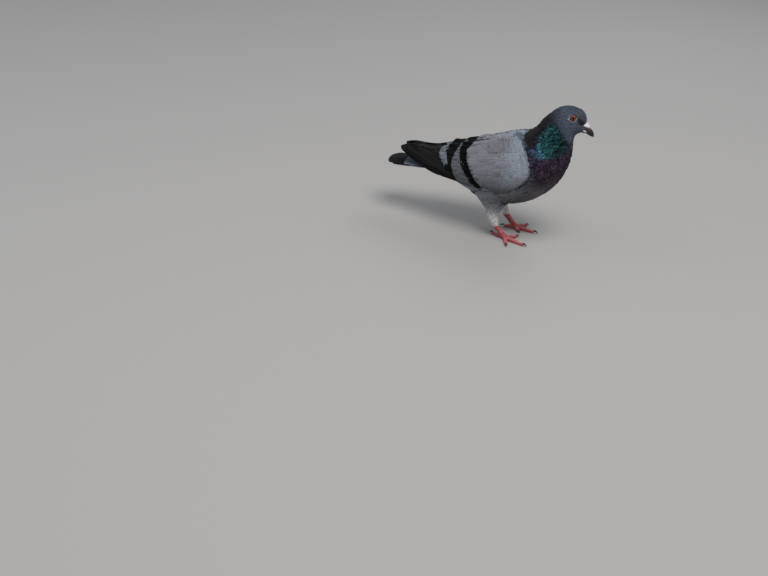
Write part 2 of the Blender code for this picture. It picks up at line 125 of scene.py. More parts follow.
def bodyPoint(along, around, side):
    # a point on the plain body form; around runs from 0 on the back to 180 on the belly
    angle = math.radians(around)
    down = (1 - math.cos(angle)) / 2
    tables = (backPoints[:, 0], bellyPoints[:, 0], backPoints[:, 1], bellyPoints[:, 1], halfWidths, eggs)
    stations = np.arange(lastLine + 1)
    backX, bellyX, backZ, bellyZ, half, egg = (np.interp(along, stations, row) for row in tables)
    out = half * math.sin(angle) * (1 - egg * math.cos(angle))
    x, z = backX * (1 - down) + bellyX * down, backZ * (1 - down) + bellyZ * down
    return np.array([x, stanceY - side * out, z]) / 1000.0


def bakePlace(along, around, side):
    # the unwrap that every coat piece shares: along the body, and round it from the back
    return np.stack([0.02 + 0.96 * along / lastLine, 0.5 + 0.48 * side * around / 180.0], 1)


def meshArrays(mesh):
    spots = np.empty(len(mesh.vertices) * 3)
    mesh.vertices.foreach_get("co", spots)
    return spots.reshape(-1, 3)


def vertexNormals(mesh):
    normals = np.empty(len(mesh.vertices) * 3)
    mesh.vertex_normals.foreach_get("vector", normals)
    return normals.reshape(-1, 3)


def facesOf(mesh):
    return [tuple(polygon.vertices) for polygon in mesh.polygons]


def setVertices(mesh, spots):
    mesh.vertices.foreach_set("co", np.ascontiguousarray(spots, dtype=float).ravel())
    mesh.update()


def putAttribute(mesh, name, values, domain="POINT"):
    # one value for each point or corner: a number, a place on an unwrap or a vector
    values = np.ascontiguousarray(values, dtype=np.float32)
    kind = {1: "FLOAT", 2: "FLOAT2", 3: "FLOAT_VECTOR"}[1 if values.ndim == 1 else values.shape[1]]
    made = mesh.attributes.new(name, kind, domain)
    made.data.foreach_set("value" if kind == "FLOAT" else "vector", values.ravel())


def newMesh(name, verts, faces, material=None, **attributes):
    mesh = bpy.data.meshes.new(name)
    mesh.from_pydata([tuple(v) for v in verts], [], faces)
    for label, values in attributes.items():
        putAttribute(mesh, label, values)
    if material:
        mesh.materials.append(material)
    return mesh


def newObject(name, data):
    made = bpy.data.objects.new(name, data)
    bpy.context.scene.collection.objects.link(made)
    return made


def smooth(mesh):
    mesh.polygons.foreach_set("use_smooth", [True] * len(mesh.polygons))


def band(a, b, count):
    # the quads between two rings of points, which start at a and b
    return [(a + i, a + (i + 1) % count, b + (i + 1) % count, b + i) for i in range(count)]


def facing(mesh):
    made = bmesh.new()
    made.from_mesh(mesh)
    bmesh.ops.recalc_face_normals(made, faces=made.faces)
    made.to_mesh(mesh)
    made.free()


def finished(obj, slot, *replaced):
    # the last step of every piece: what carries it and the solids it stands for; its finish's slot is not
    # used
    smooth(obj.data)
    print("stage:", obj.name, sum(len(p.vertices) - 2 for p in obj.data.polygons), "triangles")
    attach(obj, "root")
    if replaced:
        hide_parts(*replaced)


def unitSphere(name, segments, rings):
    made = bmesh.new()
    bmesh.ops.create_uvsphere(made, u_segments=segments, v_segments=rings, radius=1.0)
    mesh = bpy.data.meshes.new(name)
    made.to_mesh(mesh)
    made.free()
    return mesh


def baked(obj):
    # the evaluated object as a plain mesh, with its modifiers gone
    graph = bpy.context.evaluated_depsgraph_get()
    graph.update()
    whole = obj.evaluated_get(graph)
    mesh = bpy.data.meshes.new_from_object(whole, preserve_all_data_layers=True, depsgraph=graph)
    old = obj.data
    obj.modifiers.clear()
    obj.data = mesh
    bpy.data.meshes.remove(old)


def mergedCopy(names, swell):
    # the named solids as one mesh, each swollen a little so that they run into each other
    made = bmesh.new()
    for name in names:
        part = bmesh.new()
        part.from_mesh(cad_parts[name].data)
        bmesh.ops.remove_doubles(part, verts=part.verts, dist=2e-5)
        bmesh.ops.recalc_face_normals(part, faces=part.faces)
        part.normal_update()
        for v in part.verts:
            v.co += v.normal * swell
        copy = bpy.data.meshes.new(name + "Copy")
        part.to_mesh(copy)
        part.free()
        made.from_mesh(copy)
        bpy.data.meshes.remove(copy)
    mesh = bpy.data.meshes.new("merged")
    made.to_mesh(mesh)
    made.free()
    return mesh


def remeshed(names, swell, voxel, rounds):
    obj = newObject("remeshing", mergedCopy(names, swell))
    whole = obj.modifiers.new("whole", "REMESH")
    whole.mode, whole.voxel_size, whole.use_smooth_shade = "VOXEL", voxel, True
    ease = obj.modifiers.new("ease", "SMOOTH")
    ease.factor, ease.iterations = 0.5, rounds
    baked(obj)
    mesh = obj.data
    bpy.data.objects.remove(obj)
    return mesh


# the whole flesh as one surface
fleshForm = {"swell": 0.0004, "voxel": 0.00115, "ease": 3}
fleshNodes = ["trunk", "neck", "head", "wing_right", "wing_left", "primaries_right", "primaries_left",
              "thigh_right", "thigh_left"]
faceForm = {
    "browAt": (57.5, 166.5), "browSwell": 1.8, "browTurn": 54.0, "browSpread": 30.0, "browWide": 12.0,
    "pinchAt": [66.5, 68.5, 70.0, 71.5], "pinchHalf": [9.0, 6.2, 4.6, 3.4], "pinchLow": 158.0,
    "pinchHigh": 170.5,
}
thighForm = {
    # heights from the ankle up, with the middle and the half length of the thigh there
    "heights": [13.6, 23, 33, 46, 62], "middles": [-15.6, -19.8, -24.6, -28.5, -27.0],
    "halves": [3.6, 5.9, 10.2, 15.6, 23.0],
    # how far the rear and the front edge move, the right thigh's first
    "warpHeights": [17, 25, 32, 37, 44, 54, 62],
    "warps": [(-1.0, [0, 1.2, 5.9, 9.4, 1.8, -4.8, -3.0], [0, -0.8, -0.8, 0.6, 5.6, 5.0, 0]),
              (1.0, [0, 0.5, 2.6, 4.6, 1.2, -3.0, -2.0], [0, -0.8, -2.0, -2.0, -0.5, 0, 0])],
}


def pinched(spots):
    # under a full forehead the face narrows, so that the cere and the gape lie open at its sides
    f, p = faceForm, spots * 1000 - stance
    dx, dz = p[:, 0] - f["browAt"][0], p[:, 2] - f["browAt"][1]
    off = np.hypot(dx, dz)
    turn = (np.degrees(np.arctan2(dz, dx)) - f["browTurn"]) / f["browSpread"]
    swell = f["browSwell"] * np.exp(-turn ** 2) * np.clip(1 - (p[:, 1] / f["browWide"]) ** 2, 0, 1)
    swell = swell * (off > 4) * (p[:, 0] > 50) / np.maximum(off, 1)
    p[:, 0] += dx * swell
    p[:, 2] += dz * swell
    most = np.interp(p[:, 0], f["pinchAt"], f["pinchHalf"])
    high = ramped(p[:, 2], f["pinchLow"], f["pinchLow"] + 3)
    high = high * ramped(p[:, 2], f["pinchHigh"], f["pinchHigh"] - 3)
    side = np.abs(p[:, 1])
    p[:, 1] = np.sign(p[:, 1]) * (side - np.maximum(side - most, 0) * (p[:, 0] > f["pinchAt"][0]) * high)
    # the thighs are narrow over the ankle and spread into the belly above
    f = thighForm
    middle, half = (np.interp(p[:, 2], f["heights"], f[name]) for name in ("middles", "halves"))
    share = (p[:, 0] - middle + half) / (2 * half)
    past = np.maximum(np.maximum(-share, share - 1), 0) * 2 * half
    share = np.clip(share, 0, 1)
    for sign, rear, fore in f["warps"]:
        much = (np.sign(p[:, 1]) == sign) * ramped(side, 5, 9) * np.clip(1 - past / 12, 0, 1)
        hind, front = (np.interp(p[:, 2], f["warpHeights"], row) for row in (rear, fore))
        p[:, 0] += much * (hind * (1 - share) + front * share)
    return (p + stance) / 1000


def fleshSurface(names):
    mesh = remeshed(names, fleshForm["swell"], fleshForm["voxel"], fleshForm["ease"])
    return mesh, pinched(meshArrays(mesh) - vertexNormals(mesh) * fleshForm["swell"])


outerMesh, outerSpots = fleshSurface(fleshNodes)
setVertices(outerMesh, outerSpots)
outerNormals = vertexNormals(outerMesh)
outerFaces = facesOf(outerMesh)
outerTree = BVHTree.FromPolygons([Vector(v) for v in outerSpots], outerFaces)

# which solid each point of the surface belongs to
ownerSpots, ownerFaces, ownerNames = [], [], []
for nodeName in fleshNodes:
    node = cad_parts[nodeName]
    start = len(ownerSpots)
    ownerSpots += [v.co.copy() for v in node.data.vertices]
    ownerFaces += [[start + i for i in polygon.vertices] for polygon in node.data.polygons]
    ownerNames += [nodeName] * len(node.data.polygons)
ownerTree = BVHTree.FromPolygons(ownerSpots, ownerFaces)


def ownersOf(points):
    return np.array([ownerNames[ownerTree.find_nearest(Vector(p))[2]] for p in points])


def owned(owners, start):
    return np.char.startswith(owners, start)


outerOwner = ownersOf(outerSpots)
print("stage: flesh surface,", len(outerFaces), "faces")


def nearestOuter(points):
    # the nearest points of the surface, and the eased normals there
    hits = [outerTree.find_nearest(Vector(p)) for p in points]
    normals = [outerNormals[list(outerFaces[hit[2]])].mean(0) for hit in hits]
    return np.array([hit[0] for hit in hits]), unit(np.array(normals))


def landed(origin, direction):
    # where a ray from outside meets the surface, and the eased normal there
    spot = outerTree.ray_cast(Vector(origin), Vector(direction), 0.06)[0]
    if spot is None:
        spot = outerTree.find_nearest(Vector(origin))[0]
    return np.array(spot), nearestOuter([spot])[1][0]


def roundBody(x, theta, side):
    # a point on the folded wing or the back: x along the body, theta round it from the top, in mm and degrees
    turn = math.radians(theta)
    out = np.array([0.0, -side * math.sin(turn), math.cos(turn)])
    axis = np.array([x, stanceY, bodyForm["axisHeight"]]) / 1000.0
    return landed(axis + out * 0.055, -out)


def onBody(along, around, side):
    # the same for a place along the body and degrees round it
    ahead = bodyPoint(min(along + 0.3, lastLine), around, side) - bodyPoint(max(along - 0.3, 0), around, side)
    turned = bodyPoint(along, around + 4, side) - bodyPoint(along, around - 4, side)
    out = unit(np.cross(ahead, turned) * -side)
    return landed(bodyPoint(along, around, side) + out * 0.012, -out)


class Wire:
    # one value in a node tree; sums, products and the like of wires are Math nodes
    def __init__(self, tree, socket):
        self.tree, self.socket = tree, socket

    def maths(self, operation, *values):
        return Wiring(self.tree).put("ShaderNodeMath", dict(enumerate(values)), operation=operation)

    def __add__(self, other):
        return self.maths("ADD", self, other)

    def __sub__(self, other):
        return self.maths("SUBTRACT", self, other)

    def __rsub__(self, other):
        return self.maths("SUBTRACT", other, self)

    def __mul__(self, other):
        return self.maths("MULTIPLY", self, other)

    def __truediv__(self, other):
        return self.maths("DIVIDE", self, other)

    def __abs__(self):
        return self.maths("ABSOLUTE", self)

    def atLeast(self, other):
        return self.maths("MAXIMUM", self, other)

    def sine(self):
        return self.maths("SINE", self)


class Wiring:
    def __init__(self, tree):
        self.tree = tree

    def join(self, source, socket):
        if isinstance(source, Wire):
            self.tree.links.new(source.socket, socket)
        else:
            socket.default_value = (*source, 1.0) if socket.type == "RGBA" else source

    def fill(self, node, inputs):
        for label, value in inputs.items():
            self.join(value, node.inputs[label])
        return node

    def node(self, kind, inputs, **settings):
        made = self.tree.nodes.new(kind)
        for name, value in settings.items():
            setattr(made, name, value)
        return self.fill(made, inputs)

    def put(self, kind, inputs, output=0, **settings):
        return Wire(self.tree, self.node(kind, inputs, **settings).outputs[output])

    def outputs(self, node):
        return {socket.name: Wire(self.tree, socket) for socket in node.outputs}

    def fade(self, value, low, high, least=0.0, most=1.0):
        # eases from least to most while the value goes from low to high
        inputs = {"Value": value, "From Min": low, "From Max": high, "To Min": least, "To Max": most}
        return self.put("ShaderNodeMapRange", inputs, interpolation_type="SMOOTHSTEP")

    def ramp(self, value, stops, scale=1.0):
        made = self.node("ShaderNodeValToRGB", {0: value})
        bar = made.color_ramp
        while len(bar.elements) < len(stops):
            bar.elements.new(0.5)
        for element, (at, colour) in zip(bar.elements, stops):
            element.position = at * scale
            element.color = (*colour, 1.0)
        return Wire(self.tree, made.outputs[0])

    def blend(self, factor, a, b):
        return self.put("ShaderNodeMix", {0: factor, 6: a, 7: b}, 2, data_type="RGBA")

    def noise(self, vector, scale, detail=3.0, rough=0.5):
        inputs = {"Vector": vector, "Scale": scale, "Detail": detail, "Roughness": rough}
        return self.put("ShaderNodeTexNoise", inputs)

    def split(self, vector):
        made = self.node("ShaderNodeSeparateXYZ", {0: vector})
        return [Wire(self.tree, socket) for socket in made.outputs]

    def joined(self, *values):
        return self.put("ShaderNodeCombineXYZ", dict(enumerate(values)))

    def scaled(self, colour, factor):
        return self.put("ShaderNodeVectorMath", {0: colour, "Scale": factor}, operation="SCALE")

    def read(self, name, output="Vector"):
        return self.put("ShaderNodeAttribute", {}, output, attribute_name=name)

    def spot(self):
        return self.put("ShaderNodeTexCoord", {}, "Object")

    def bump(self, height, distance):
        return self.put("ShaderNodeBump", {"Strength": 1.0, "Distance": distance, "Height": height})

    def group(self, tree, inputs):
        return self.outputs(self.node("ShaderNodeGroup", inputs, node_tree=tree))


def nodeGroup(kind, name, inputs, outputs):
    # a tree with named inputs and outputs, each given as name: type of socket
    tree = bpy.data.node_groups.new(name, kind)
    for way, labels in (("INPUT", inputs), ("OUTPUT", outputs)):
        for label, socket in labels.items():
            tree.interface.new_socket(name=label, in_out=way, socket_type="NodeSocket" + socket)
    w = Wiring(tree)
    return w, w.outputs(w.node("NodeGroupInput", {})), w.node("NodeGroupOutput", {})


def newMaterial(name):
    made = bpy.data.materials.new(name)
    made.use_nodes = True
    return made, Wiring(made.node_tree), made.node_tree.nodes["Principled BSDF"]


# plumage colours in linear light, shared by the skin and every coat piece
plumageForm = {
    # stops along the body (0 tail tips, 18 face)
    "back": [(0.0, (.030, .030, .034)), (2.0, (.060, .064, .074)), (2.8, (.25, .27, .31)),
             (4.6, (.23, .25, .29)), (6.4, (.242, .270, .330)), (6.85, (.215, .237, .285)),
             (7.2, (.016, .016, .020)), (9.0, (.010, .010, .014)), (11.4, (.011, .013, .018)),
             (12.2, (.036, .048, .068)), (13.4, (.080, .106, .160)), (15.0, (.100, .128, .185)),
             (16.6, (.174, .185, .250)), (18.0, (.172, .172, .218))],
    "side": [(0.0, (.05, .05, .055)), (2.0, (.18, .185, .21)), (4.5, (.25, .26, .29)),
             (6.4, (.200, .208, .232)), (7.0, (.125, .135, .165)), (7.6, (.066, .068, .082)),
             (8.0, (.040, .036, .042)), (8.3, (.014, .012, .015)), (11.3, (.020, .022, .029)),
             (12.0, (.061, .074, .102)), (13.2, (.114, .139, .194)), (14.6, (.132, .158, .218)),
             (15.7, (.146, .161, .213)), (16.8, (.150, .157, .205)), (18.0, (.110, .110, .140))],
    "belly": [(0.0, (.06, .062, .07)), (1.6, (.21, .22, .245)), (3.0, (.265, .300, .345)),
              (4.4, (.262, .288, .330)), (5.2, (.104, .101, .110)), (6.6, (.086, .082, .087)),
              (7.9, (.165, .148, .164)), (8.8, (.090, .066, .080)), (9.6, (.042, .029, .037)),
              (11.0, (.030, .030, .037)), (11.9, (.080, .094, .126)), (12.8, (.112, .132, .178)),
              (15.0, (.138, .154, .206)), (18.0, (.124, .132, .170))],
    "green": (.0245, .088, .094), "teal": (.030, .138, .165), "blue": (.070, .136, .235),
    "purple": (.044, .029, .050), "dimGreen": (.012, .032, .033),
    "napeDark": (.0105, .0095, .013), "napeSide": (.024, .025, .040), "bendEdge": (.082, .108, .138),
    "lores": (.020, .015, .016), "gape": (.100, .055, .060),
    "wingFront": (.330, .373, .442), "wingMid": (.190, .200, .226), "wingLowShade": (.098, .098, .106),
    "wingSmudge": (.120, .118, .130), "wingStain": (.140, .134, .142),
    "thigh": (.460, .510, .565), "ankle": (.74, .71, .72), "bar": (.0045, .0042, .0050),
}
plumageZones = {
    # where each marking fades in or out: from, to, and least and most where they aren't 0 and 1
    "sideTop": (18.0, 42.0), "bellyTop": (108.0, 150.0),
    "collarRise": (9.7, 8.85, 0.0, 15.0),
    "purpleTop": (65.0, 78.0), "purpleLow": (128.0, 100.0), "purpleHind": (7.75, 8.1),
    "purpleChest": (172.0, 140.0),
    "greenTop": (36.0, 52.0), "greenLow": (81.0, 68.0), "greenHind": (7.8, 8.2), "greenFore": (12.1, 11.5),
    "tealFore": (8.7, 10.0), "dimLow": (84.0, 118.0, 0.0, 0.92), "blueTop": (40.0, 62.0),
    "blueFore": (9.75, 8.7),
    "strandLightShade": (0.38, 0.62, 0.50, 1.45),
    "mantleTop": (10.0, 3.0, 6.55, 7.0), "mantleSide": (24.0, 44.0, 0.0, 0.50),
    "mantleLow": (44.0, 78.0, 0.0, 0.55),
    "napeHind": (0.0, 0.28), "napeLow": (98.0, 80.0), "napeFore": (11.4, 10.6), "napeSide": (36.0, 54.0),
    "edgeHind": (-0.42, -0.08), "edgeFore": (0.30, 0.02), "edgeLow": (108.0, 90.0), "edgeTop": (6.0, 15.0),
    "loresHind": (14.8, 15.8), "loresTop": (48.0, 76.0), "loresLow": (106.0, 94.0),
    "gapeHind": (15.2, 15.7), "gapeWide": (4.5, 2.0),
    "wingFront": (5.0, 7.6), "wingLowShade": (92.0, 122.0), "stain": (0.48, 0.70),
    "smudgeLong": (1.1, 0.2), "smudgeWide": (22.0, 4.0), "ankle": (0.024, 0.050),
}


def makePlumageGroup():
    w, given, out = nodeGroup(
        "ShaderNodeTree", "plumageTone",
        {"Place": "Vector", "Kind": "Vector", "Object": "Vector", "Tone": "Float"},
        {"Colour": "Color", "Gloss": "Float"})
    t, blend = plumageForm, w.blend

    def zone(value, name):
        return w.fade(value, *plumageZones[name])

    along, around = w.split(given["Place"])[:2]
    wing, thigh, bar = w.split(given["Kind"])
    spot, tone = given["Object"], given["Tone"]
    # feathers break the edges of each zone unevenly
    jitter = tone * 0.34 - 0.17
    steady = along + (w.noise(spot, 90.0, 2.0) * 0.5 - 0.25) + jitter
    turned = around + jitter * 26.0
    zones = ("back", "side", "belly")
    back, side, belly = (w.ramp(steady / lastLine, t[name], 1 / lastLine) for name in zones)
    body = blend(zone(turned, "sideTop"), back, side)
    body = blend(zone(turned, "bellyTop"), body, belly)
    # the collar: purple below, green above, blue where they meet at the back
    below = turned + (steady - 8.4) * -23.5 + (8.9 - steady).atLeast(0.0) * -8.0
    above = turned + (steady - 11.0).atLeast(0.0) * -33.0 - zone(steady, "collarRise")
    hind = steady + (turned - 76.0) * -0.0085
    purple = zone(below, "purpleTop") * zone(below, "purpleLow") * zone(hind, "purpleHind")
    purple = purple * zone(turned, "purpleChest")
    green = zone(below, "greenLow") * zone(above, "greenTop") * zone(steady, "greenHind")
    green = green * zone(steady, "greenFore")
    collar = blend(zone(steady, "tealFore"), t["teal"], t["green"])
    collar = blend(zone(turned, "dimLow"), collar, t["dimGreen"])
    collar = blend(zone(below, "blueTop") * zone(steady, "blueFore"), collar, t["blue"])
    body = blend(purple, body, t["purple"])
    # painted light on the green collar: streaks of noise brighten the strands as painted sheen and darken the
    # gaps between them as painted shade, from 0.5 to 1.45 times
    strandLightShade = zone(w.noise(w.joined(along * 1.9, around * 0.26), 1.0, 2.0), "strandLightShade")
    body = blend(green, body, w.scaled(collar, strandLightShade))
    # the hind neck is dark right up to the grey mantle
    mantle = zone(turned, "mantleTop") + zone(turned, "mantleSide") + zone(turned, "mantleLow")
    ahead = steady - mantle
    nape = zone(ahead, "napeHind") * zone(turned, "napeLow") * zone(steady, "napeFore")
    dark = blend(zone(turned, "napeSide"), t["napeDark"], t["napeSide"])
    body = blend(nape * (1.0 - green.atLeast(purple)), body, dark)
    # a blue-grey edge where the mantle and the breast meet the wing's bend
    strip = zone(ahead, "edgeHind") * zone(ahead, "edgeFore") * zone(turned, "edgeLow")
    strip = strip * zone(turned, "edgeTop")
    body = blend(strip, body, t["bendEdge"])
    # dark in front of the eye, and a thin line of bare skin from there to the bill
    lores = zone(along, "loresHind") * zone(around, "loresTop") * zone(around, "loresLow")
    body = blend(lores * 0.97, body, t["lores"])
    body = blend(zone(along, "gapeHind") * zone(abs(around - 98.0), "gapeWide"), body, t["gape"])
    cover = blend(zone(along, "wingFront"), t["wingMid"], t["wingFront"])
    # painted shade: the lower part of the folded wing is darker, and a little browner
    cover = blend(zone(turned, "wingLowShade"), cover, t["wingLowShade"])
    smudge = zone(abs(along - 5.3), "smudgeLong") * zone(abs(turned - 38.0), "smudgeWide")
    cover = blend(smudge * 0.6, cover, t["wingSmudge"])
    cover = blend(zone(w.noise(spot, 125.0, 3.0, 0.6), "stain") * 0.5, cover, t["wingStain"])
    whole = blend(wing, body, cover)
    whole = blend(thigh, whole, blend(zone(w.split(spot)[2], "ankle"), t["ankle"], t["thigh"]))
    # the third Kind channel blends to the bar black: the real wing bars on the skin, and painted shadow on
    # body feathers tucked under the wing's lower edge
    whole = blend(bar, whole, t["bar"])
    shade = (w.noise(spot, 45.0, 4.0, 0.6) * 0.36 + 0.82) * (tone * 0.22 + 0.89)
    gloss = green.atLeast(purple * 0.8) * (1.0 - wing.atLeast(thigh))
    w.fill(out, {"Colour": w.scaled(whole, shade), "Gloss": gloss})
    return w.tree


def makeVaneGroup():
    # Vane holds the place across the vane (-1 to 1), along it (0 root, 1 tip) and a tone of its own
    w, given, out = nodeGroup(
        "ShaderNodeTree", "vaneDetail",
        {"Vane": "Vector", "Barbs": "Float", "Root shade": "Float", "Shaft": "Float"},
        {"Shade": "Float", "Height": "Float"})
    across, along, tone = w.split(given["Vane"])
    far = abs(across)
    wave = (tone * 7.0 + (far * -0.30 + along) * given["Barbs"]).sine()
    shaft = w.fade(far, 0.10, 0.02)
    root = w.fade(along, 0.30, 0.72, given["Root shade"], 1.0)
    rim = w.fade(far, 0.75, 1.0) * 0.08 + 1.0
    w.fill(out, {"Shade": root * (wave * 0.045 + 1.0) * (1.0 - shaft * given["Shaft"]) * rim,
                 "Height": shaft * 1.6 + wave * 0.5})
    return w.tree


plumageGroup = makePlumageGroup()
vaneGroup = makeVaneGroup()
featherForm = {"sheen": 0.0, "specular": 0.12, "bump": 0.00012}


def plumageMaterial(name, **form):
    made, w, shader = newMaterial(name)
    form = {**featherForm, **form}
    roughness, vane, spot = form["roughness"], w.read("vane"), w.spot()
    tone = w.split(vane)[2]
    zone = w.group(plumageGroup, {"Place": w.read("place"), "Kind": w.read("kind"), "Object": spot,
                                  "Tone": tone})
    detail = w.group(vaneGroup, {"Vane": vane, "Barbs": form["barbs"], "Root shade": form["rootShade"],
                                 "Shaft": form["shaft"]})
    colour, gloss = w.scaled(zone["Colour"], detail["Shade"]), zone["Gloss"]
    if "metal" in form:
        # glossy feathers shift their hue with the angle of view and differ from each other
        edge = w.put("ShaderNodeLayerWeight", {"Blend": 0.35}, "Facing")
        shifted = w.put("ShaderNodeHueSaturation", {
            "Hue": edge * 0.06 + (tone * 0.05 + 0.455), "Saturation": form["saturation"],
            "Value": tone * form["contrast"] + (1.1 - form["contrast"] / 2), "Color": colour})
        colour = w.blend(gloss, colour, shifted)
        w.fill(shader, {"Metallic": gloss * form["metal"]})
        roughness = gloss * (form["polish"] - roughness) + roughness
    height = w.noise(spot, 2600.0, 2.0) * 0.8 + detail["Height"]
    w.fill(shader, {"Base Color": colour, "Roughness": roughness, "Sheen Weight": form["sheen"],
                    "Sheen Roughness": 0.45, "Specular IOR Level": form["specular"],
                    "Normal": w.bump(height, form["bump"])})
    return made


def runTree(obj, tree, values):
    made = obj.modifiers.new("grow", "NODES")
    made.node_group = tree
    for item in tree.interface.items_tree:
        if item.in_out == "INPUT" and item.name in values:
            made[item.identifier] = values[item.name]
    baked(obj)


def makeRootTree():
    # roots scattered over a surface
    w, given, out = nodeGroup(
        "GeometryNodeTree", "scatterRoots",
        {"Geometry": "Geometry", "Spacing": "Float", "Density": "Float", "Seed": "Int"},
        {"Geometry": "Geometry"})
    spread = w.put("GeometryNodeDistributePointsOnFaces", {
        "Mesh": given["Geometry"], "Distance Min": given["Spacing"], "Density Max": given["Density"],
        "Seed": given["Seed"]}, "Points", distribute_method="POISSON")
    w.fill(out, {"Geometry": w.put("GeometryNodePointsToVertices", {"Points": spread})})
    w.tree.is_modifier = True
    return w.tree


def makeVaneTree():
    # vanes grown on the roots
    w, given, out = nodeGroup(
        "GeometryNodeTree", "growVanes",
        {"Geometry": "Geometry", "Vane A": "Object", "Vane B": "Object", "Vane C": "Object", "Twist": "Float",
         "Uneven": "Float", "Patch": "Float", "Finish": "Material", "Seed": "Int"}, {"Geometry": "Geometry"})

    def named(name, kind="FLOAT"):
        return w.put("GeometryNodeInputNamedAttribute", {"Name": name}, "Attribute", data_type=kind)

    def scattered(most, shift):
        inputs = {2: most * -1.0, 3: most, "Seed": given["Seed"] + shift}
        return w.put("FunctionNodeRandomValue", inputs, 1, data_type="FLOAT")

    def stored(geometry, name, value, kind, domain):
        inputs = {"Geometry": geometry, "Name": name, "Value": value}
        return w.put("GeometryNodeStoreNamedAttribute", inputs, data_type=kind, domain=domain)

    choice = w.node("GeometryNodeJoinGeometry", {})
    for label in ("Vane A", "Vane B", "Vane C"):
        inputs = {"As Instance": True, "Object": given[label]}
        info = w.put("GeometryNodeObjectInfo", inputs, "Geometry", transform_space="ORIGINAL")
        w.join(info, choice.inputs[0])
    turn = w.put("FunctionNodeAxesToRotation", {
        "Primary Axis": named("lie", "FLOAT_VECTOR"), "Secondary Axis": named("out", "FLOAT_VECTOR")},
        primary_axis="Y", secondary_axis="Z")
    sway = w.joined(scattered(given["Twist"], 3) * 0.25, scattered(given["Twist"], 2) * 0.7,
                    scattered(given["Twist"], 1))
    twist = w.put("FunctionNodeRotateRotation", {"Rotation": turn, "Rotate By": sway}, rotation_space="LOCAL")
    pick = w.put("FunctionNodeRandomValue", {4: 0, 5: 2, "Seed": given["Seed"]}, 2, data_type="INT")
    size = named("size")
    scale = w.joined(size * named("wide"), size * (scattered(given["Uneven"], 4) + 1.0), size)
    grow = w.put("GeometryNodeInstanceOnPoints", {
        "Points": given["Geometry"], "Instance": Wire(w.tree, choice.outputs[0]), "Pick Instance": True,
        "Instance Index": pick, "Rotation": twist, "Scale": scale})
    real = w.put("GeometryNodeRealizeInstances", {0: grow})
    # each vane is a small patch at its root's place on the unwrap
    flat = named("vaneUv", "FLOAT_VECTOR")
    patch = w.put("ShaderNodeVectorMath", {0: flat, 1: given["Patch"], 2: named("rootUv", "FLOAT_VECTOR")},
                  operation="MULTIPLY_ADD")
    mapped = stored(real, "OFBake", patch, "FLOAT2", "CORNER")
    across, along = w.split(flat)[:2]
    vane = w.joined(across * 2.0, along + 0.5, named("tone"))
    marked = stored(mapped, "vane", vane, "FLOAT_VECTOR", "POINT")
    finish = w.put("GeometryNodeSetMaterial", {"Geometry": marked, "Material": given["Finish"]})
    w.fill(out, {"Geometry": finish})
    w.tree.is_modifier = True
    return w.tree


rootTree = makeRootTree()
vaneTree = makeVaneTree()
vaneForms = {
    # outline: share of the length and half width there; the rings stand at its inner points
    "soft": {"outline": [(0, .08), (.16, .17), (.38, .30), (.6, .36), (.8, .33), (.94, .19), (1, 0)],
             "across": 5,
             "fray": 0.10, "swept": 0.16, "bow": 0.050, "droop": 0.04, "camber": 0.20, "ridge": 0.006,
             "thick": 0.020},
    "scale": {"outline": [(0, .08), (.16, .20), (.38, .34), (.6, .42), (.8, .41), (.95, .28), (1, 0)],
              "across": 5,
              "fray": 0.08, "swept": 0.10, "bow": 0.05, "droop": 0.05, "camber": 0.24, "ridge": 0.010,
              "thick": 0.022},
    "tiny": {"outline": [(0, .08), (.22, .24), (.58, .36), (.88, .25), (1, 0)], "across": 3,
             "fray": 0.12, "swept": 0.12, "bow": 0.06, "droop": 0.05, "camber": 0.30, "ridge": 0.0,
             "thick": 0.035},
    "cover": {"outline": [(0, .10), (.14, .24), (.34, .38), (.56, .43), (.78, .42), (.94, .26), (1, 0)],
              "across": 5,
              "fray": 0.05, "swept": 0.08, "bow": 0.045, "droop": 0.035, "camber": 0.21, "ridge": 0.006,
              "thick": 0.016},
    "rim": {"outline": [(0, .20), (.06, .30), (.3, .42), (.6, .44), (.88, .30), (1, 0)], "across": 5,
            "fray": 0.06, "swept": 0.04, "bow": 0.07, "droop": 0.03, "camber": 0.25, "ridge": 0.0,
            "thick": 0.03},
}


def vaneObject(name, form, seed):
    # one thin closed vane, one long, root at the origin, tip along Y, outer face up
    rng = np.random.default_rng(seed)
    rings = np.array(form["outline"][1:-1])
    widest = rings[:, 1].max()
    verts, uvs, faces = [(0, 0, 0)], [(0, -0.5, 0)], []
    for y, half in rings:
        frayed = 1 + rng.uniform(-form["fray"], form["fray"], 2)
        slip = rng.uniform(-0.02, 0.02)
        bow = form["bow"] * 4 * y * (1 - y) - form["droop"] * y ** 3
        for x in np.linspace(-1, 1, form["across"]):
            reach = x * ((frayed[0] if x < 0 else frayed[1]) * half)
            crown = form["ridge"] * (1 - min(1.0, abs(x) * 3))
            ahead = y - abs(x) * form["swept"] * half + slip * abs(x)
            verts.append((reach, ahead, bow - form["camber"] * reach ** 2 / widest + crown))
            uvs.append((x * 0.5, y - 0.5, 0))
        verts.append((0, y, bow - form["thick"]))
        uvs.append((0, y - 0.5, 0))
    verts.append((0, 1.0, -form["droop"]))
    uvs.append((0, 0.5, 0))
    count = form["across"] + 1
    for a in range(1, 1 + (len(rings) - 1) * count, count):
        faces += band(a, a + count, count)
    last = 1 + (len(rings) - 1) * count
    for i in range(count):
        j = (i + 1) % count
        faces += [(0, 1 + j, 1 + i), (last + i, last + j, len(verts) - 1)]
    mesh = newMesh(name, verts, faces, vaneUv=uvs)
    smooth(mesh)
    facing(mesh)
    made = newObject(name, mesh)
    made.hide_render = True
    return made


vaneKinds = {kind: [vaneObject(f"{kind}Vane{letter}", form, seed) for seed, letter in enumerate("ABC", 11)]
             for kind, form in vaneForms.items()}

faceCentres = np.array([outerSpots[list(face)].mean(0) for face in outerFaces])
faceOwner = outerOwner[np.array([face[0] for face in outerFaces])]
faceAlong, faceAround = bodyPlace(faceCentres)[:2]
eyeX, eyeZ = bodyForm["eyeAt"]
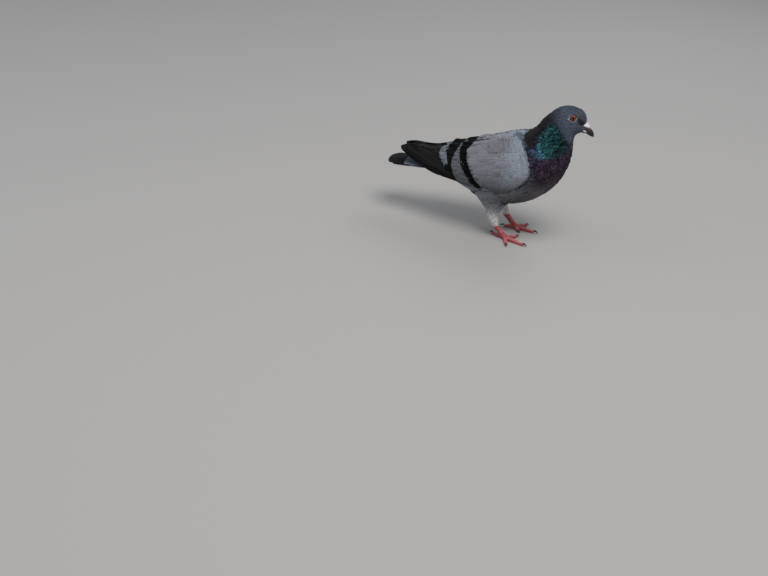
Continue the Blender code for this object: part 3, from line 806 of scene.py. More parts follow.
# name, sign of y and middle of each eye
eyes = [(name, sign, np.array([eyeX + stanceX, stanceY + sign * bodyForm["eyeOut"], eyeZ]) / 1000)
        for name, sign in (("right", -1.0), ("left", 1.0))]
billRoot = (np.array(bodyForm["billRoot"]) + stance) / 1000


def fromEyes(spots):
    return np.min([np.linalg.norm(spots - centre, axis=1) for name, sign, centre in eyes], axis=0)


faceEye = fromEyes(faceCentres)
faceBill = np.linalg.norm((faceCentres - billRoot) * np.array([1.0, 1.0, 0.8]), axis=1)


def scatterRoots(mask, spacing, seed):
    kept = [outerFaces[i] for i in np.nonzero(mask)[0]]
    used, back = np.unique(np.concatenate(kept), return_inverse=True)
    ends = np.cumsum([len(face) for face in kept])
    mesh = newMesh("tract", outerSpots[used], [loop.tolist() for loop in np.split(back, ends[:-1])])
    obj = newObject("tract", mesh)
    runTree(obj, rootTree, {"Spacing": spacing, "Density": 2.5 / spacing ** 2, "Seed": seed})
    spots = meshArrays(obj.data)
    bpy.data.objects.remove(obj)
    return nearestOuter(spots)


def lieOf(spots, normals, owner):
    # feathers lie back along the body, and down on the thighs
    lie = bodyPlace(spots)[3]
    heights, middles = np.array(thighForm["heights"]) / 1000, np.array(thighForm["middles"]) / 1000
    z = spots[:, 2]
    slope = np.interp(z, heights, np.gradient(middles, heights))
    down = unit(np.stack([-slope, np.zeros(len(z)), -np.ones(len(z))], 1))
    mix = np.where(owned(owner, "thigh"), np.clip((0.064 - z) / 0.022, 0, 1), 0.0)
    lie = unit(lie * (1 - mix)[:, None] + down * mix[:, None])
    return unit(lie - normals * (lie * normals).sum(1, keepdims=True))


def raised(along, around):
    # the coat is fuller on the nape and over the shoulders
    nape = np.interp(along, [9.5, 11.0, 13.0, 14.0], [0.0, 1.5, 1.2, 0.3]) * np.clip((75 - around) / 40, 0, 1)
    mantle = np.interp(along, [4.5, 5.5, 7.0, 7.6], [0.0, 1.8, 2.0, 0.4]) * np.clip((48 - around) / 24, 0, 1)
    return (nape + mantle) / 1000


def thighShare(spots, owner):
    return owned(owner, "thigh") * np.clip((0.054 - spots[:, 2]) / 0.02, 0, 1)


def coatPiece(name, form, roots, tips, outs, tone, shownAt, kind, rootAt, seed):
    # shownAt is where each feather's markings are read, rootAt where it lies on the unwrap
    reach = tips - roots
    own = {"lie": unit(reach), "out": outs, "size": np.linalg.norm(reach, axis=1),
           "wide": np.full(len(roots), form["wide"]), "tone": tone,
           "rootUv": np.c_[bakePlace(*rootAt.T), np.zeros(len(roots))]}
    obj = newObject(name, newMesh(name, roots, [], **own, place=shownAt, kind=kind))
    values = {"Vane " + letter: vane for letter, vane in zip("ABC", vaneKinds[form["vane"]])}
    values.update({"Twist": form["twist"], "Uneven": form["uneven"], "Patch": 0.003, "Finish": form["finish"],
                   "Seed": seed})
    runTree(obj, vaneTree, values)
    for label in (*own, "vaneUv"):
        if label in obj.data.attributes:
            obj.data.attributes.remove(obj.data.attributes[label])
    finished(obj, form["slot"])


def growTract(name, form, seed):
    spots, normals = scatterRoots(form["where"], form["spacing"], seed)
    owner, at = ownersOf(spots), placeOf(spots)
    lie = lieOf(spots, normals, owner)
    rng = np.random.default_rng(seed)
    length = form["length"] * rng.uniform(0.92, 1.08, len(spots))
    if "fine" in form:
        # smaller feathers where the form says so: (place along the body, share of the length)
        length = length * np.interp(at[:, 0], *zip(*form["fine"]))
    if "stopAtWing" in form:
        length = np.where(owned(ownersOf(spots + lie * length[:, None]), "wing"), length * 0.55, length)
        keep = ~owned(ownersOf(spots + lie * length[:, None] * 0.8), "wing")
        kept = (rows[keep] for rows in (spots, normals, owner, lie, length, at))
        spots, normals, owner, lie, length, at = kept
    reach, reachNormals = nearestOuter(spots + lie * length[:, None])
    lift = rng.uniform(*form["lift"], len(spots)) + raised(at[:, 0], at[:, 1])
    tone = rng.uniform(0, 1, len(spots))
    shownAt = placeOf(spots + lie * length[:, None] * 0.65)
    # the feathers tucked under the wing's lower edge get painted shadow of the wing: their third kind channel
    # takes them 0.72 of the way to the bar black
    over = spots + lie * length[:, None] * 0.5 + np.array([0.0, 0.0, 0.0036]) + normals * 0.0010
    wingShadow = owned(ownersOf(over), "wing") & (owner == "trunk") & (at[:, 1] > 80)
    kind = np.stack([np.zeros(len(spots)), thighShare(spots, owner), wingShadow * 0.72], 1)
    coatPiece(name, form, spots - normals * form["sink"], reach + reachNormals * lift[:, None], normals, tone,
              shownAt, kind, at, seed)


headFinish = plumageMaterial("headPlumage", roughness=0.72, barbs=30.0, rootShade=0.72, shaft=0.0, sheen=0.05)
neckFinish = plumageMaterial("neckPlumage", roughness=0.62, barbs=60.0, rootShade=0.15, shaft=0.06,
                             specular=0.1, saturation=1.0, metal=0.6, polish=0.36, contrast=1.0)
breastFinish = plumageMaterial("breastPlumage", roughness=0.72, barbs=60.0, rootShade=0.80, shaft=0.05,
                               saturation=0.95, metal=0.4, polish=0.50, contrast=0.4)
bodyFinish = plumageMaterial("bodyPlumage", roughness=0.78, barbs=60.0, rootShade=0.86, shaft=0.04,
                             sheen=0.05)
wingFinish = plumageMaterial("wingPlumage", roughness=0.72, barbs=70.0, rootShade=0.92, shaft=0.06,
                             sheen=0.05)

bodyFace = np.isin(faceOwner, ["trunk", "neck", "head"])
tracts = {
    "headFeathers": {
        "vane": "tiny", "spacing": 0.00105, "length": 0.0034, "wide": 0.9, "lift": (-0.0001, 0.0001),
        "sink": 0.0006,
        "twist": 0.16, "uneven": 0.12, "finish": headFinish, "slot": "slate_plumage",
        "fine": [(12, 1.25), (13.5, 1.0), (16, 0.72), (17.5, 0.5)],
        "where": bodyFace & (faceAlong > 12.2) & (faceEye > 0.0053) & (faceBill > 0.0052)},
    "neckFeathers": {
        "vane": "scale", "spacing": 0.0017, "length": 0.0086, "wide": 0.50, "lift": (-0.0003, 0.0006),
        "sink": 0.0012,
        "twist": 0.16, "uneven": 0.14, "finish": neckFinish, "slot": "neck_plumage",
        "fine": [(8, 1.1), (10, 1.0), (12.4, 0.72)],
        "where": bodyFace & (faceAlong > 8.35) & (faceAlong < 12.35) & (faceAround > 40)},
    "napeFeathers": {
        "vane": "soft", "spacing": 0.0015, "length": 0.0052, "wide": 0.85, "lift": (-0.0002, 0.0002),
        "sink": 0.0010,
        "twist": 0.10, "uneven": 0.12, "finish": headFinish, "slot": "slate_plumage",
        "where": bodyFace & (faceAlong > 7.3) & (faceAlong < 12.4) & (faceAround <= 43)},
    "breastFeathers": {
        "vane": "soft", "spacing": 0.0023, "length": 0.0100, "wide": 0.72, "lift": (-0.0003, 0.0003),
        "sink": 0.0013,
        "twist": 0.10, "uneven": 0.12, "finish": breastFinish, "slot": "neck_plumage", "stopAtWing": True,
        "where": bodyFace & (faceAlong > 5.4) & (faceAlong <= 8.45)
        & ((faceAround > 52) | ((faceAlong > 7.2) & (faceAround > 42)))},
    "bellyFeathers": {
        "vane": "soft", "spacing": 0.0027, "length": 0.0115, "wide": 0.80, "lift": (-0.0003, 0.0004),
        "sink": 0.0013,
        "twist": 0.12, "uneven": 0.15, "finish": bodyFinish, "slot": "slate_plumage",
        "where": bodyFace & (faceAlong <= 5.5) & (faceAround > 62)},
    "backFeathers": {
        "vane": "cover", "spacing": 0.0031, "length": 0.0125, "wide": 0.9, "lift": (0.0, 0.0002),
        "sink": 0.0013,
        "twist": 0.06, "uneven": 0.06, "finish": bodyFinish, "slot": "grey_plumage",
        "where": bodyFace & (faceAlong <= 7.35) & (faceAlong > 4.8) & (faceAround <= 64)},
    "thighFeathers": {
        "vane": "soft", "spacing": 0.0019, "length": 0.0085, "wide": 0.8, "lift": (-0.0003, 0.0002),
        "sink": 0.0009,
        "twist": 0.12, "uneven": 0.15, "finish": bodyFinish, "slot": "thigh_plumage",
        "where": owned(faceOwner, "thigh")},
}
for seed, (tractName, tractForm) in enumerate(tracts.items(), 101):
    growTract(tractName, tractForm, seed)

wingForm = {
    # edges of the folded wing and its bars: angle round the body against x
    "frontEdge": [(10, 40.0), (17, 44.5), (27, 50.5), (40, 57.5), (50, 62.0), (65, 67.8), (75, 68.0),
                  (83, 65.0),
                  (95, 58.5), (105, 51.0), (115, 41.0), (124, 31.0)],
    "barOneFront": [(0, -16.0), (34, -15.8), (48, -16.8), (60, -17.0), (69, -15.2), (78, -11.4), (86, -7.8),
                    (94, -3.7), (102, 0.6), (110, 6.8), (118, 11.6), (124, 14.0)],
    "barOneRear": [(0, -28.0), (22, -29.0), (36, -28.6), (50, -27.2), (62, -25.8), (72, -23.4), (81, -19.7),
                   (89, -16.4), (97, -12.6), (106, -7.6), (115, -0.6), (124, 7.0)],
    "barTwoFront": [(0, -30.6), (34, -31.2), (51, -32.3), (65, -33.9), (76, -34.6), (86, -33.4), (95, -31.0),
                    (104, -28.2), (113, -23.1)],
    "barTwoRear": [(0, -47.6), (26, -48.2), (53, -46.0), (68, -43.8), (79, -41.2), (88, -38.2), (96, -34.0)],
    "top": 10.0, "low": 122.0, "rowSteps": [8.6, 7.4, 6.4, 5.6, 4.8, 4.1, 3.5, 3.0, 2.6, 2.2, 1.9, 1.7],
    "coverts": {"vane": "cover", "twist": 0.045, "uneven": 0.03, "wide": 0.95, "finish": wingFinish,
                "slot": "wing_plumage"},
    # the rim's rows: set back from the edge, and length
    "rimRows": ((0.6, 3.0), (1.9, 3.3), (3.4, 3.6)), "rimTop": 18.0, "rimLow": 124.0, "rimStep": 1.15,
    "rim": {"vane": "rim", "twist": 0.08, "uneven": 0.08, "wide": 1.0, "finish": wingFinish,
            "slot": "wing_plumage"},
}


def edge(name, theta):
    return np.interp(theta, *zip(*wingForm[name]))


def fanAngle(x, theta):
    # how far below straight back the coverts point, in degrees
    low = np.interp(theta, [0, 20, 55, 70, 87, 104, 118, 126], [-6, -2, 3, 14, 30, 40, 47, 50])
    return low * np.clip((62.0 - x) / 70.0, 0.12, 1.0)


def wingPlace(spot):
    # angle round the body and distance from its axis, in degrees and mm
    out, up = abs(spot[1] * 1000 - stanceY), spot[2] * 1000 - bodyForm["axisHeight"]
    return np.degrees(np.arctan2(out, up)), np.hypot(out, up)


class Plumes:
    # one coat piece's feathers, gathered before its vanes are grown
    def __init__(self):
        self.rows = []

    def add(self, root, rootNormal, tip, tipNormal, sink, lift, rng):
        out = unit(rootNormal + tipNormal)
        self.rows.append((root - rootNormal * sink, tip + tipNormal * lift, out, rng.uniform(0, 1), tip))

    def finish(self, name, form, seed):
        roots, tips, outs, tone, spots = map(np.array, zip(*self.rows))
        at = placeOf(spots)
        kind = np.tile([1.0, 0.0, 0.0], (len(roots), 1))
        coatPiece(name, form, roots, tips, outs, tone, at, kind, at, seed)


def wingRows():
    rng, steps, plumes = np.random.default_rng(7), np.array(wingForm["rowSteps"]), Plumes()
    whole = steps[::-1].sum()
    share = 1 - np.concatenate([[0], np.cumsum(steps)]) / whole
    for side in (1, -1):
        for row, size in enumerate(steps):
            fraction = 1 - share[row]
            theta = wingForm["top"] + (row % 2) * 0.5
            while theta < wingForm["low"]:
                front, rear = edge("frontEdge", theta), edge("barOneFront", theta)
                local = max((front - rear) / whole, 0.25)
                x = rear + (front - rear) * fraction
                tipX = x + rng.normal(0, 0.13 * size * local + (0.4 if row else 0.0))
                tip, tipNormal = roundBody(tipX, theta, side)
                radius = wingPlace(tip)[1]
                length = size * local * 1.7 + 2.2
                turn = math.radians(fanAngle(x, theta) + rng.normal(0, 3.0))
                rootX = min(tipX + length * math.cos(turn), front - 0.8)
                higher = math.degrees(length * math.sin(turn) / radius)
                root, rootNormal = roundBody(rootX, theta - higher, side)
                if 0.0012 < np.linalg.norm(root - tip) < length * 0.0022:
                    along, around = bodyPlace(tip[None])[:2]
                    lift = 0.00012 + rng.uniform(-0.00005, 0.00005) + raised(along, around)[0]
                    plumes.add(root, rootNormal, tip, tipNormal, 0.0010, lift, rng)
                gap = max(size * 0.62 * (0.55 + 0.45 * local), 1.5)
                tighter = np.interp(theta, [85, 118], [1.0, 0.6])
                theta += math.degrees(gap / radius) * (1 + rng.uniform(-0.15, 0.15)) * tighter
    plumes.finish("wingCoverts", wingForm["coverts"], 31)


def wingRim():
    # the small close feathers round the wing's bend and along its lower edge
    rng, plumes = np.random.default_rng(8), Plumes()
    for side in (1, -1):
        for row, (setBack, length) in enumerate(wingForm["rimRows"]):
            theta = wingForm["rimTop"] + row * 0.6
            while theta < wingForm["rimLow"]:
                front = edge("frontEdge", theta)
                turn = math.radians(fanAngle(front, theta) + rng.normal(0, 5))
                root, rootNormal = roundBody(front - setBack + 0.3 + rng.normal(0, 0.12), theta, side)
                radius = wingPlace(root)[1]
                lower = math.degrees(length * math.tan(turn) / radius)
                tip, tipNormal = roundBody(front - setBack - length, theta + lower, side)
                if np.linalg.norm(root - tip) < length * 0.0026:
                    plumes.add(root, rootNormal, tip, tipNormal, 0.0001, 0.0004, rng)
                theta += math.degrees(wingForm["rimStep"] / radius)
    plumes.finish("wingRim", wingForm["rim"], 32)


wingRows()
wingRim()


def flightMaterial(name, form):
    # marks: how far inside the black bar, how far past it, and how pale what follows it is
    made, w, shader = newMaterial(name)
    spot, form = w.spot(), {"specular": 0.12, "shaft": 0.30, "bump": 0.00016, **form}
    across, along, tone = w.split(w.read("vane"))
    depth, past, pale = w.split(w.read("marks"))
    far = abs(across)
    ragged = w.noise(spot, 900.0, 3.0) * 1.2 - 0.6
    ground = w.blend(w.fade(across, -0.15, 0.3), form["outerWeb"], form["innerWeb"])
    ground = w.blend(w.fade(past + ragged, -0.3, 0.3) * pale, ground, form["tip"])
    colour = w.blend(w.fade(depth + ragged, -0.3, 0.3), ground, form["bar"])
    colour = w.blend(w.fade(far, 0.86, 1.0) * form["rim"], colour, form["rimColour"])
    streak = (tone * 9.0 + (far * -0.22 + along) * form["barbs"]).sine()
    shaft = w.fade(far, 0.055, 0.02)
    shade = (w.noise(spot, 60.0, 4.0, 0.6) * 0.30 + 0.85) * (tone * 0.20 + 0.90)
    shade = shade * (streak * 0.025 + (shaft * -form["shaft"] + 1.0))
    w.fill(shader, {"Base Color": w.scaled(colour, shade), "Specular IOR Level": form["specular"],
                    "Roughness": w.noise(spot, 160.0, 2.0) * 0.2 + (form["roughness"] - 0.1),
                    "Normal": w.bump(shaft * 2.2 + streak * 0.5, form["bump"])})
    return made


bladeForm = {
    # places across a blade from the outer edge to the inner one, on its upper and its lower side
    "top": (-1, -0.7, -0.35, -0.07, 0, 0.07, 0.35, 0.7, 1.0), "low": (0.5, -0.5),
    # both ends are closed by a strip between the upper and the lower side
    "caps": ((0, 1, 2, 10), (2, 3, 4, 10), (10, 4, 9), (4, 5, 6, 9), (6, 7, 8, 9)),
    "nicks": 0.10, "stack": 0.0,
}


class VaneSheet:
    # long vanes laid along the surface, as one mesh
    def __init__(self, seed):
        self.verts, self.faces, self.vane, self.marks, self.place = [], [], [], [], []
        self.rng = np.random.default_rng(seed)

    def addBlade(self, spots, normals, side, form, markOf):
        # spots and normals run from root to tip; the inner vane is the one nearer the back
        form = {**bladeForm, **form}
        rng, count = self.rng, len(spots)
        tone = rng.uniform(0, 1)
        t = np.linspace(0, 1, count)
        tangent = unit(np.gradient(spots, axis=0))
        normals = unit(normals - tangent * (normals * tangent).sum(1, keepdims=True))
        inward = np.cross(tangent, normals) * side
        outline = np.interp(t, *zip(*form["outline"]))
        outer, inner = outline * form["outer"] / 1000, outline * form["inner"] / 1000
        nicks = rng.random(count) < form["nicks"]
        outer = outer * np.where(nicks, rng.uniform(0.86, 0.95, count), 1.0)
        nicks = rng.random(count) < form["nicks"]
        inner = inner * np.where(nicks, rng.uniform(0.84, 0.95, count), 1.0)
        lift = np.interp(t, [0, 1], form["lift"]) / 1000 + form["stack"] / 1000
        thick, across = form["thick"] / 1000, len(form["top"] + form["low"])
        start = len(self.verts)
        for j in range(count):
            for i, x in enumerate(form["top"] + form["low"]):
                reach = (outer[j] if x < 0 else inner[j]) * x
                rise = lift[j] - reach * form["shingle"] - reach * reach / (2 * form["curve"] / 1000)
                shaft = thick * 0.9 * max(0.0, 1 - abs(x) * 9) * (1 - 0.6 * t[j])
                rise += shaft if i < len(form["top"]) else -thick
                spot = spots[j] + normals[j] * rise + inward[j] * reach
                self.verts.append(spot)
                self.vane.append((x, t[j], tone))
                self.marks.append(markOf(spot, t[j]))
                self.place.append(spots[0])
        flip = side > 0
        made = [(a + i, a + across + i, a + across + (i + 1) % across, a + (i + 1) % across)
                for a in range(start, start + (count - 1) * across, across) for i in range(across)]
        self.faces += [face if flip else face[::-1] for face in made]
        for a, turned in ((start, flip), (start + (count - 1) * across, not flip)):
            caps = [tuple(a + i for i in cap) for cap in form["caps"]]
            self.faces += [cap if turned else cap[::-1] for cap in caps]

    def finish(self, name, material, slot, *replaced, bake=False):
        at = placeOf(np.array(self.place))
        mesh = newMesh(name, self.verts, self.faces, material, vane=self.vane, marks=self.marks, place=at,
                       kind=np.tile([1.0, 0, 0], (len(self.verts), 1)))
        if bake:
            own = np.array(self.vane)[:, :2] * np.array([0.5, 1.0]) - np.array([0, 0.5])
            spot = bakePlace(*at.T) + own * 0.003
            corners = np.empty(len(mesh.loops), dtype=int)
            mesh.loops.foreach_get("vertex_index", corners)
            putAttribute(mesh, "OFBake", spot[corners], "CORNER")
        finished(newObject(name, mesh), slot, *replaced)


def eased(rows, rounds=2):
    rows = np.array(rows)
    for unused in range(rounds):
        rows[1:-1] = rows[1:-1] * 0.5 + (rows[:-2] + rows[2:]) * 0.25
    return rows


def wingLine(xs, thetas, side):
    spots, normals = zip(*[roundBody(x, theta, side) for x, theta in zip(xs, thetas)])
    return eased(spots), unit(eased(normals))


bladeOutline = [(0, .14), (.08, .42), (.25, .82), (.5, 1.0), (.82, .98), (.90, .90), (.95, .72), (.98, .46),
                (1, .10)]
greaterForm = {
    "outline": [(0, .14), (.12, .5), (.35, .92), (.65, 1.0), (.82, .96), (.91, .82), (.96, .60),
                (.985, .38), (1, .08)],
    "outer": 5.6, "inner": 6.4, "lift": (-0.9, 0.45), "shingle": 0.045, "curve": 42.0, "thick": 0.2,
    "points": 15,
    "finish": {"roughness": 0.75, "outerWeb": (.135, .142, .158), "innerWeb": (.135, .142, .158),
               "tip": (.16, .17, .19), "bar": (.0022, .0020, .0026), "specular": 0.08,
               "rimColour": (.012, .012, .014), "rim": 0.25, "barbs": 190.0},
}
secondaryForm = {
    "outline": bladeOutline, "outer": 6.8, "inner": 9.2, "lift": (-1.3, 0.12), "shingle": 0.014,
    "curve": 44.0,
    "thick": 0.10, "points": 27,
    # where each secondary or tertial ends: x (mm), angle (degrees), and whether its tip is pale
    "tips": [(-24.0, 109, 0), (-28.5, 103, 0), (-33.0, 97, 0), (-38.0, 91.5, 0), (-42.5, 87, 0),
             (-46.0, 82, 1),
             (-50.2, 76, 1), (-53.8, 69, 1), (-55.6, 61, 1), (-56.0, 52, 1), (-56.5, 43, 1), (-56.5, 33, 1),
             (-55.5, 22, .45), (-52.0, 12, 0)],
    "finish": {"roughness": 0.75, "outerWeb": (.130, .138, .152), "innerWeb": (.112, .120, .134),
               "tip": (.160, .178, .208), "bar": (.0022, .0020, .0026), "rimColour": (.11, .116, .13),
               "rim": 0.10, "barbs": 260.0, "shaft": 0.10},
}
primaryForm = {
    "outline": bladeOutline, "outer": 4.6, "inner": 9.5, "lift": (-1.5, 0.05), "shingle": 0.045,
    "curve": 60.0,
    "thick": 0.2, "points": 33,
    # outermost and lowest first: place along the body and angle round it, at root, middle and tip
    "lines": [((4.3, 112), (2.3, 109), (0.62, 71)), ((4.2, 107), (2.2, 101), (0.2, 66)),
              ((4.1, 101), (2.05, 92.5), (0.02, 60)), ((4.0, 93), (1.95, 85), (0.06, 51)),
              ((3.9, 86), (1.9, 73), (0.13, 38)), ((3.8, 77), (1.9, 60), (0.19, 24)),
              ((3.7, 67), (1.95, 48), (0.22, 12)), ((3.6, 55), (2.05, 36), (0.60, 5)),
              ((3.5, 43), (2.15, 26), (1.10, 10)), ((3.4, 36), (2.3, 26), (1.55, 17))],
    "finish": {"roughness": 0.55, "outerWeb": (.0085, .0078, .0082), "innerWeb": (.0105, .0093, .0095),
               "tip": (.009, .008, .009), "bar": (.007, .0065, .007), "rimColour": (.045, .041, .042),
               "rim": 0.40, "barbs": 420.0},
}
tailForm = {
    "root": (-112.4 + stanceX, 72.4), "tip": (-177.9 + stanceX, 65.6), "rootHalf": 17.5, "tipHalf": 22.5,
    "pairs": 6, "points": 27, "nicks": 0.08, "curve": 60.0, "thick": 0.25,
    "outline": [(0, .25), (.15, .62), (.4, .9), (.75, 1.0), (.93, .98), (.965, .86), (.985, .62), (1, .22)],
    "outer": 5.4, "inner": 7.6, "lift": (0.0, 0.0), "shingle": 0.045,
    "finish": {"roughness": 0.60, "outerWeb": (.165, .185, .240), "innerWeb": (.080, .090, .118),
               "tip": (.05, .055, .065), "bar": (.0055, .0050, .0058), "rimColour": (.04, .042, .05),
               "rim": 0.25,
               "barbs": 380.0},
}


def barOneMark(spot, share):
    return min(edge("barOneFront", wingPlace(spot)[0]) + 0.9 - spot[0] * 1000, 5.0), -5.0, 0.0


def makeGreaterCoverts():
    sheet, t = VaneSheet(41), np.linspace(1, 0, greaterForm["points"])
    for side in (1, -1):
        for theta in 5.0 + 7.4 * np.arange(16):
            tipX = edge("barOneRear", theta) + sheet.rng.normal(0, 0.35)
            length = np.interp(theta, [20, 90, 124], [24.0, 22.0, 15.0])
            turn = math.radians(fanAngle(tipX, theta) * 0.9)
            thetas = theta - math.degrees(length * math.sin(turn) / 39.0) * t
            spots, normals = wingLine(tipX + length * math.cos(turn) * t, thetas, side)
            sheet.addBlade(spots, normals, side, greaterForm, barOneMark)
    finish = flightMaterial("greaterCovertPlumage", greaterForm["finish"])
    sheet.finish("greaterCoverts", finish, "wing_plumage", bake=True)


def makeSecondaries():
    sheet, t = VaneSheet(42), np.linspace(0, 1, secondaryForm["points"])
    for side in (1, -1):
        for order, (tipX, tipTheta, pale) in enumerate(secondaryForm["tips"]):
            rootTheta = np.interp(tipTheta, [12, 60, 76, 87, 97, 109], [18, 63, 80, 95, 107, 117])
            rootX = edge("barOneFront", rootTheta) + 6.0
            thetas = rootTheta + (tipTheta - rootTheta) * t ** 1.25
            spots, normals = wingLine(rootX + (tipX - rootX) * t, thetas, side)
            foreShift, hindShift = sheet.rng.normal(0, 0.45), sheet.rng.normal(0, 0.6)

            def barTwoMark(spot, share):
                x, theta = spot[0] * 1000, wingPlace(spot)[0]
                fore = edge("barTwoFront", theta) + foreShift - x
                hind = x - edge("barTwoRear", theta) + hindShift if pale > 0.2 else 5.0
                return min(fore, hind), -hind, 1.0

            sheet.addBlade(spots, normals, side, dict(secondaryForm, stack=order * 0.012), barTwoMark)
    sheet.finish("secondaries", flightMaterial("secondaryPlumage", secondaryForm["finish"]), "wing_plumage")


def makePrimaries():
    sheet, t = VaneSheet(43), np.linspace(0, 1, primaryForm["points"])
    bend = np.stack([(1 - t) ** 2, 2 * t * (1 - t), t ** 2]).T
    for side in (1, -1):
        for order, line in enumerate(primaryForm["lines"]):
            knots = np.array(line)
            if side < 0:
                # the left wing's tip lies a little past the right one's
                knots[2, 0] = max(knots[2, 0] - 0.08, 0.0)
            spots, normals = zip(*[onBody(along, around, side) for along, around in bend @ knots])
            form = dict(primaryForm, stack=order * 0.02)
            if order in (5, 6, 7):
                form["inner"] = primaryForm["inner"] * 1.5
            sheet.addBlade(eased(spots, 3), unit(eased(normals, 5)), side, form,
                           lambda spot, share: (-5.0, -5.0, 0.0))
    finish = flightMaterial("primaryPlumage", primaryForm["finish"])
    sheet.finish("primaries", finish, "flight_plumage", "primaries_right", "primaries_left")


def bandMark(start, end=0.985):
    # the dark band across the end of the tail, and the grey edge past it
    return lambda spot, share: (min(share - start, end - share) * 80.0, (share - end) * 80.0, 1.0)


def makeTail():
    sheet, t = VaneSheet(44), np.linspace(0, 1, tailForm["points"])
    (x0, z0), (x1, z1) = tailForm["root"], tailForm["tip"]
    for side in (1, -1):
        for pair in range(tailForm["pairs"]):
            share, outermost = (pair + 0.5) / tailForm["pairs"], pair == tailForm["pairs"] - 1
            shorter = 1.0 - 0.115 * share ** 2.5 - 0.075 * outermost
            x = x0 + 14.0 * (1 - t) + (x1 - x0) * t * shorter
            sag = (0.9 + 2.8 * (1 - t)) * share ** 2
            z = z0 + 1.4 * (1 - t) + (z1 - z0) * t * shorter - sag - pair * 0.14 - 0.6 * outermost + 3.4
            out = (tailForm["rootHalf"] * (1 - t) + tailForm["tipHalf"] * t) * share
            spots = np.stack([x, stanceY - side * out, z], 1) / 1000
            normals = np.tile(unit(np.array([0.1, -side * 0.10 * share, 1.0])), (len(t), 1))
            form = dict(tailForm, outer=tailForm["outer"] * (0.8 if outermost else 1.0))
            sheet.addBlade(spots, normals, side, form, bandMark(0.655 if outermost else 0.70))
    sheet.finish("tailFeathers", flightMaterial("tailPlumage", tailForm["finish"]), "flight_plumage", "tail")


makeGreaterCoverts()
makeSecondaries()
makePrimaries()
makeTail()

skinForm = {
    "bodyDepth": 0.0015, "headDepth": 0.0006, "thighDepth": 0.0007, "headFrom": 12.5, "thighBelow": 0.03,
    "nodes": ["trunk", "neck", "head", "wing_right", "wing_left", "thigh_right", "thigh_left"],
    "legs": ["shank_right", "foot_right", "shank_left", "foot_left"],
}
footForm = {
    "swell": 0.0008, "voxel": 0.00042, "ease": 2, "shankFrom": 6.5,
    # middle of each foot (x, out), and heading and length of its toes
    "feet": {
        "right": (-1.0, (-2.6, 22.0), {"inner": (-50.0, 22.8), "middle": (16.0, 33.8), "outer": (69.0, 25.4),
                                       "hind": (-157.0, 26.5)}),
        "left": (1.0, (-1.0, 20.4), {"inner": (-54.0, 18.5), "middle": (-5.0, 32.0), "outer": (54.0, 23.5),
                                     "hind": (-167.0, 20.5)})},
}


def skinMaterial():
    made, w, shader = newMaterial("skinPlumage")
    spot = w.spot()
    zone = w.group(plumageGroup, {"Place": w.read("place"), "Kind": w.read("kind"), "Object": spot,
                                  "Tone": 0.5})
    # painted shade: the skin shows the plumage colours at 0.45 to 0.75 of their strength, darker as in the
    # gaps under the feathers
    colour = w.scaled(zone["Colour"], w.noise(spot, 900.0, 4.0) * 0.3 + 0.45)
    w.fill(shader, {"Base Color": colour, "Roughness": 0.8,
                    "Normal": w.bump(w.noise(spot, 1500.0, 3.0), 0.0003)})
    return made


def scaleMaterial():
    made, w, shader = newMaterial("footScale")
    spot = w.spot()
    cells = w.put("ShaderNodeTexVoronoi", {"Scale": 900.0, "Vector": spot}, "Distance",
                  feature="DISTANCE_TO_EDGE")
    net = w.fade(cells, 0.0, 0.12)
    patchy = w.noise(spot, 260.0, 4.0, 0.6)
    colour = w.ramp(patchy, [(0.25, (.26, .022, .030)), (0.5, (.36, .037, .050)), (0.75, (.46, .082, .100))])
    colour = w.blend(w.fade(w.read("scute", "Fac"), 0.30, 0.80, 0.0, 0.85), colour, (.72, .40, .41))
    dust = w.fade(w.noise(spot, 120.0, 4.0, 0.7), 0.5, 0.75) * 0.30
    colour = w.blend(dust, colour, (.42, .30, .28))
    colour = w.blend(w.fade(net, 1.0, 0.0, 0.0, 0.26), colour, (.58, .21, .22))
    w.fill(shader, {"Base Color": colour, "Roughness": patchy * 0.3 + 0.38, "Subsurface Weight": 0.08,
                    "Subsurface Radius": (0.002, 0.0008, 0.0006), "Specular IOR Level": 0.4,
                    "Normal": w.bump(net * 0.5 + patchy * 0.2, 0.00022)})
    return made


def footAxes(sideName, toe):
    # the middle of a foot, the way one of its toes points and how long the toe is
    sign, (x, out), toes = footForm["feet"][sideName]
    heading, length = toes[toe]
    turn = math.radians(heading)
    way = np.array([math.cos(turn), sign * math.sin(turn)])
    return np.array([x + stanceX, stanceY + sign * out]), way, length


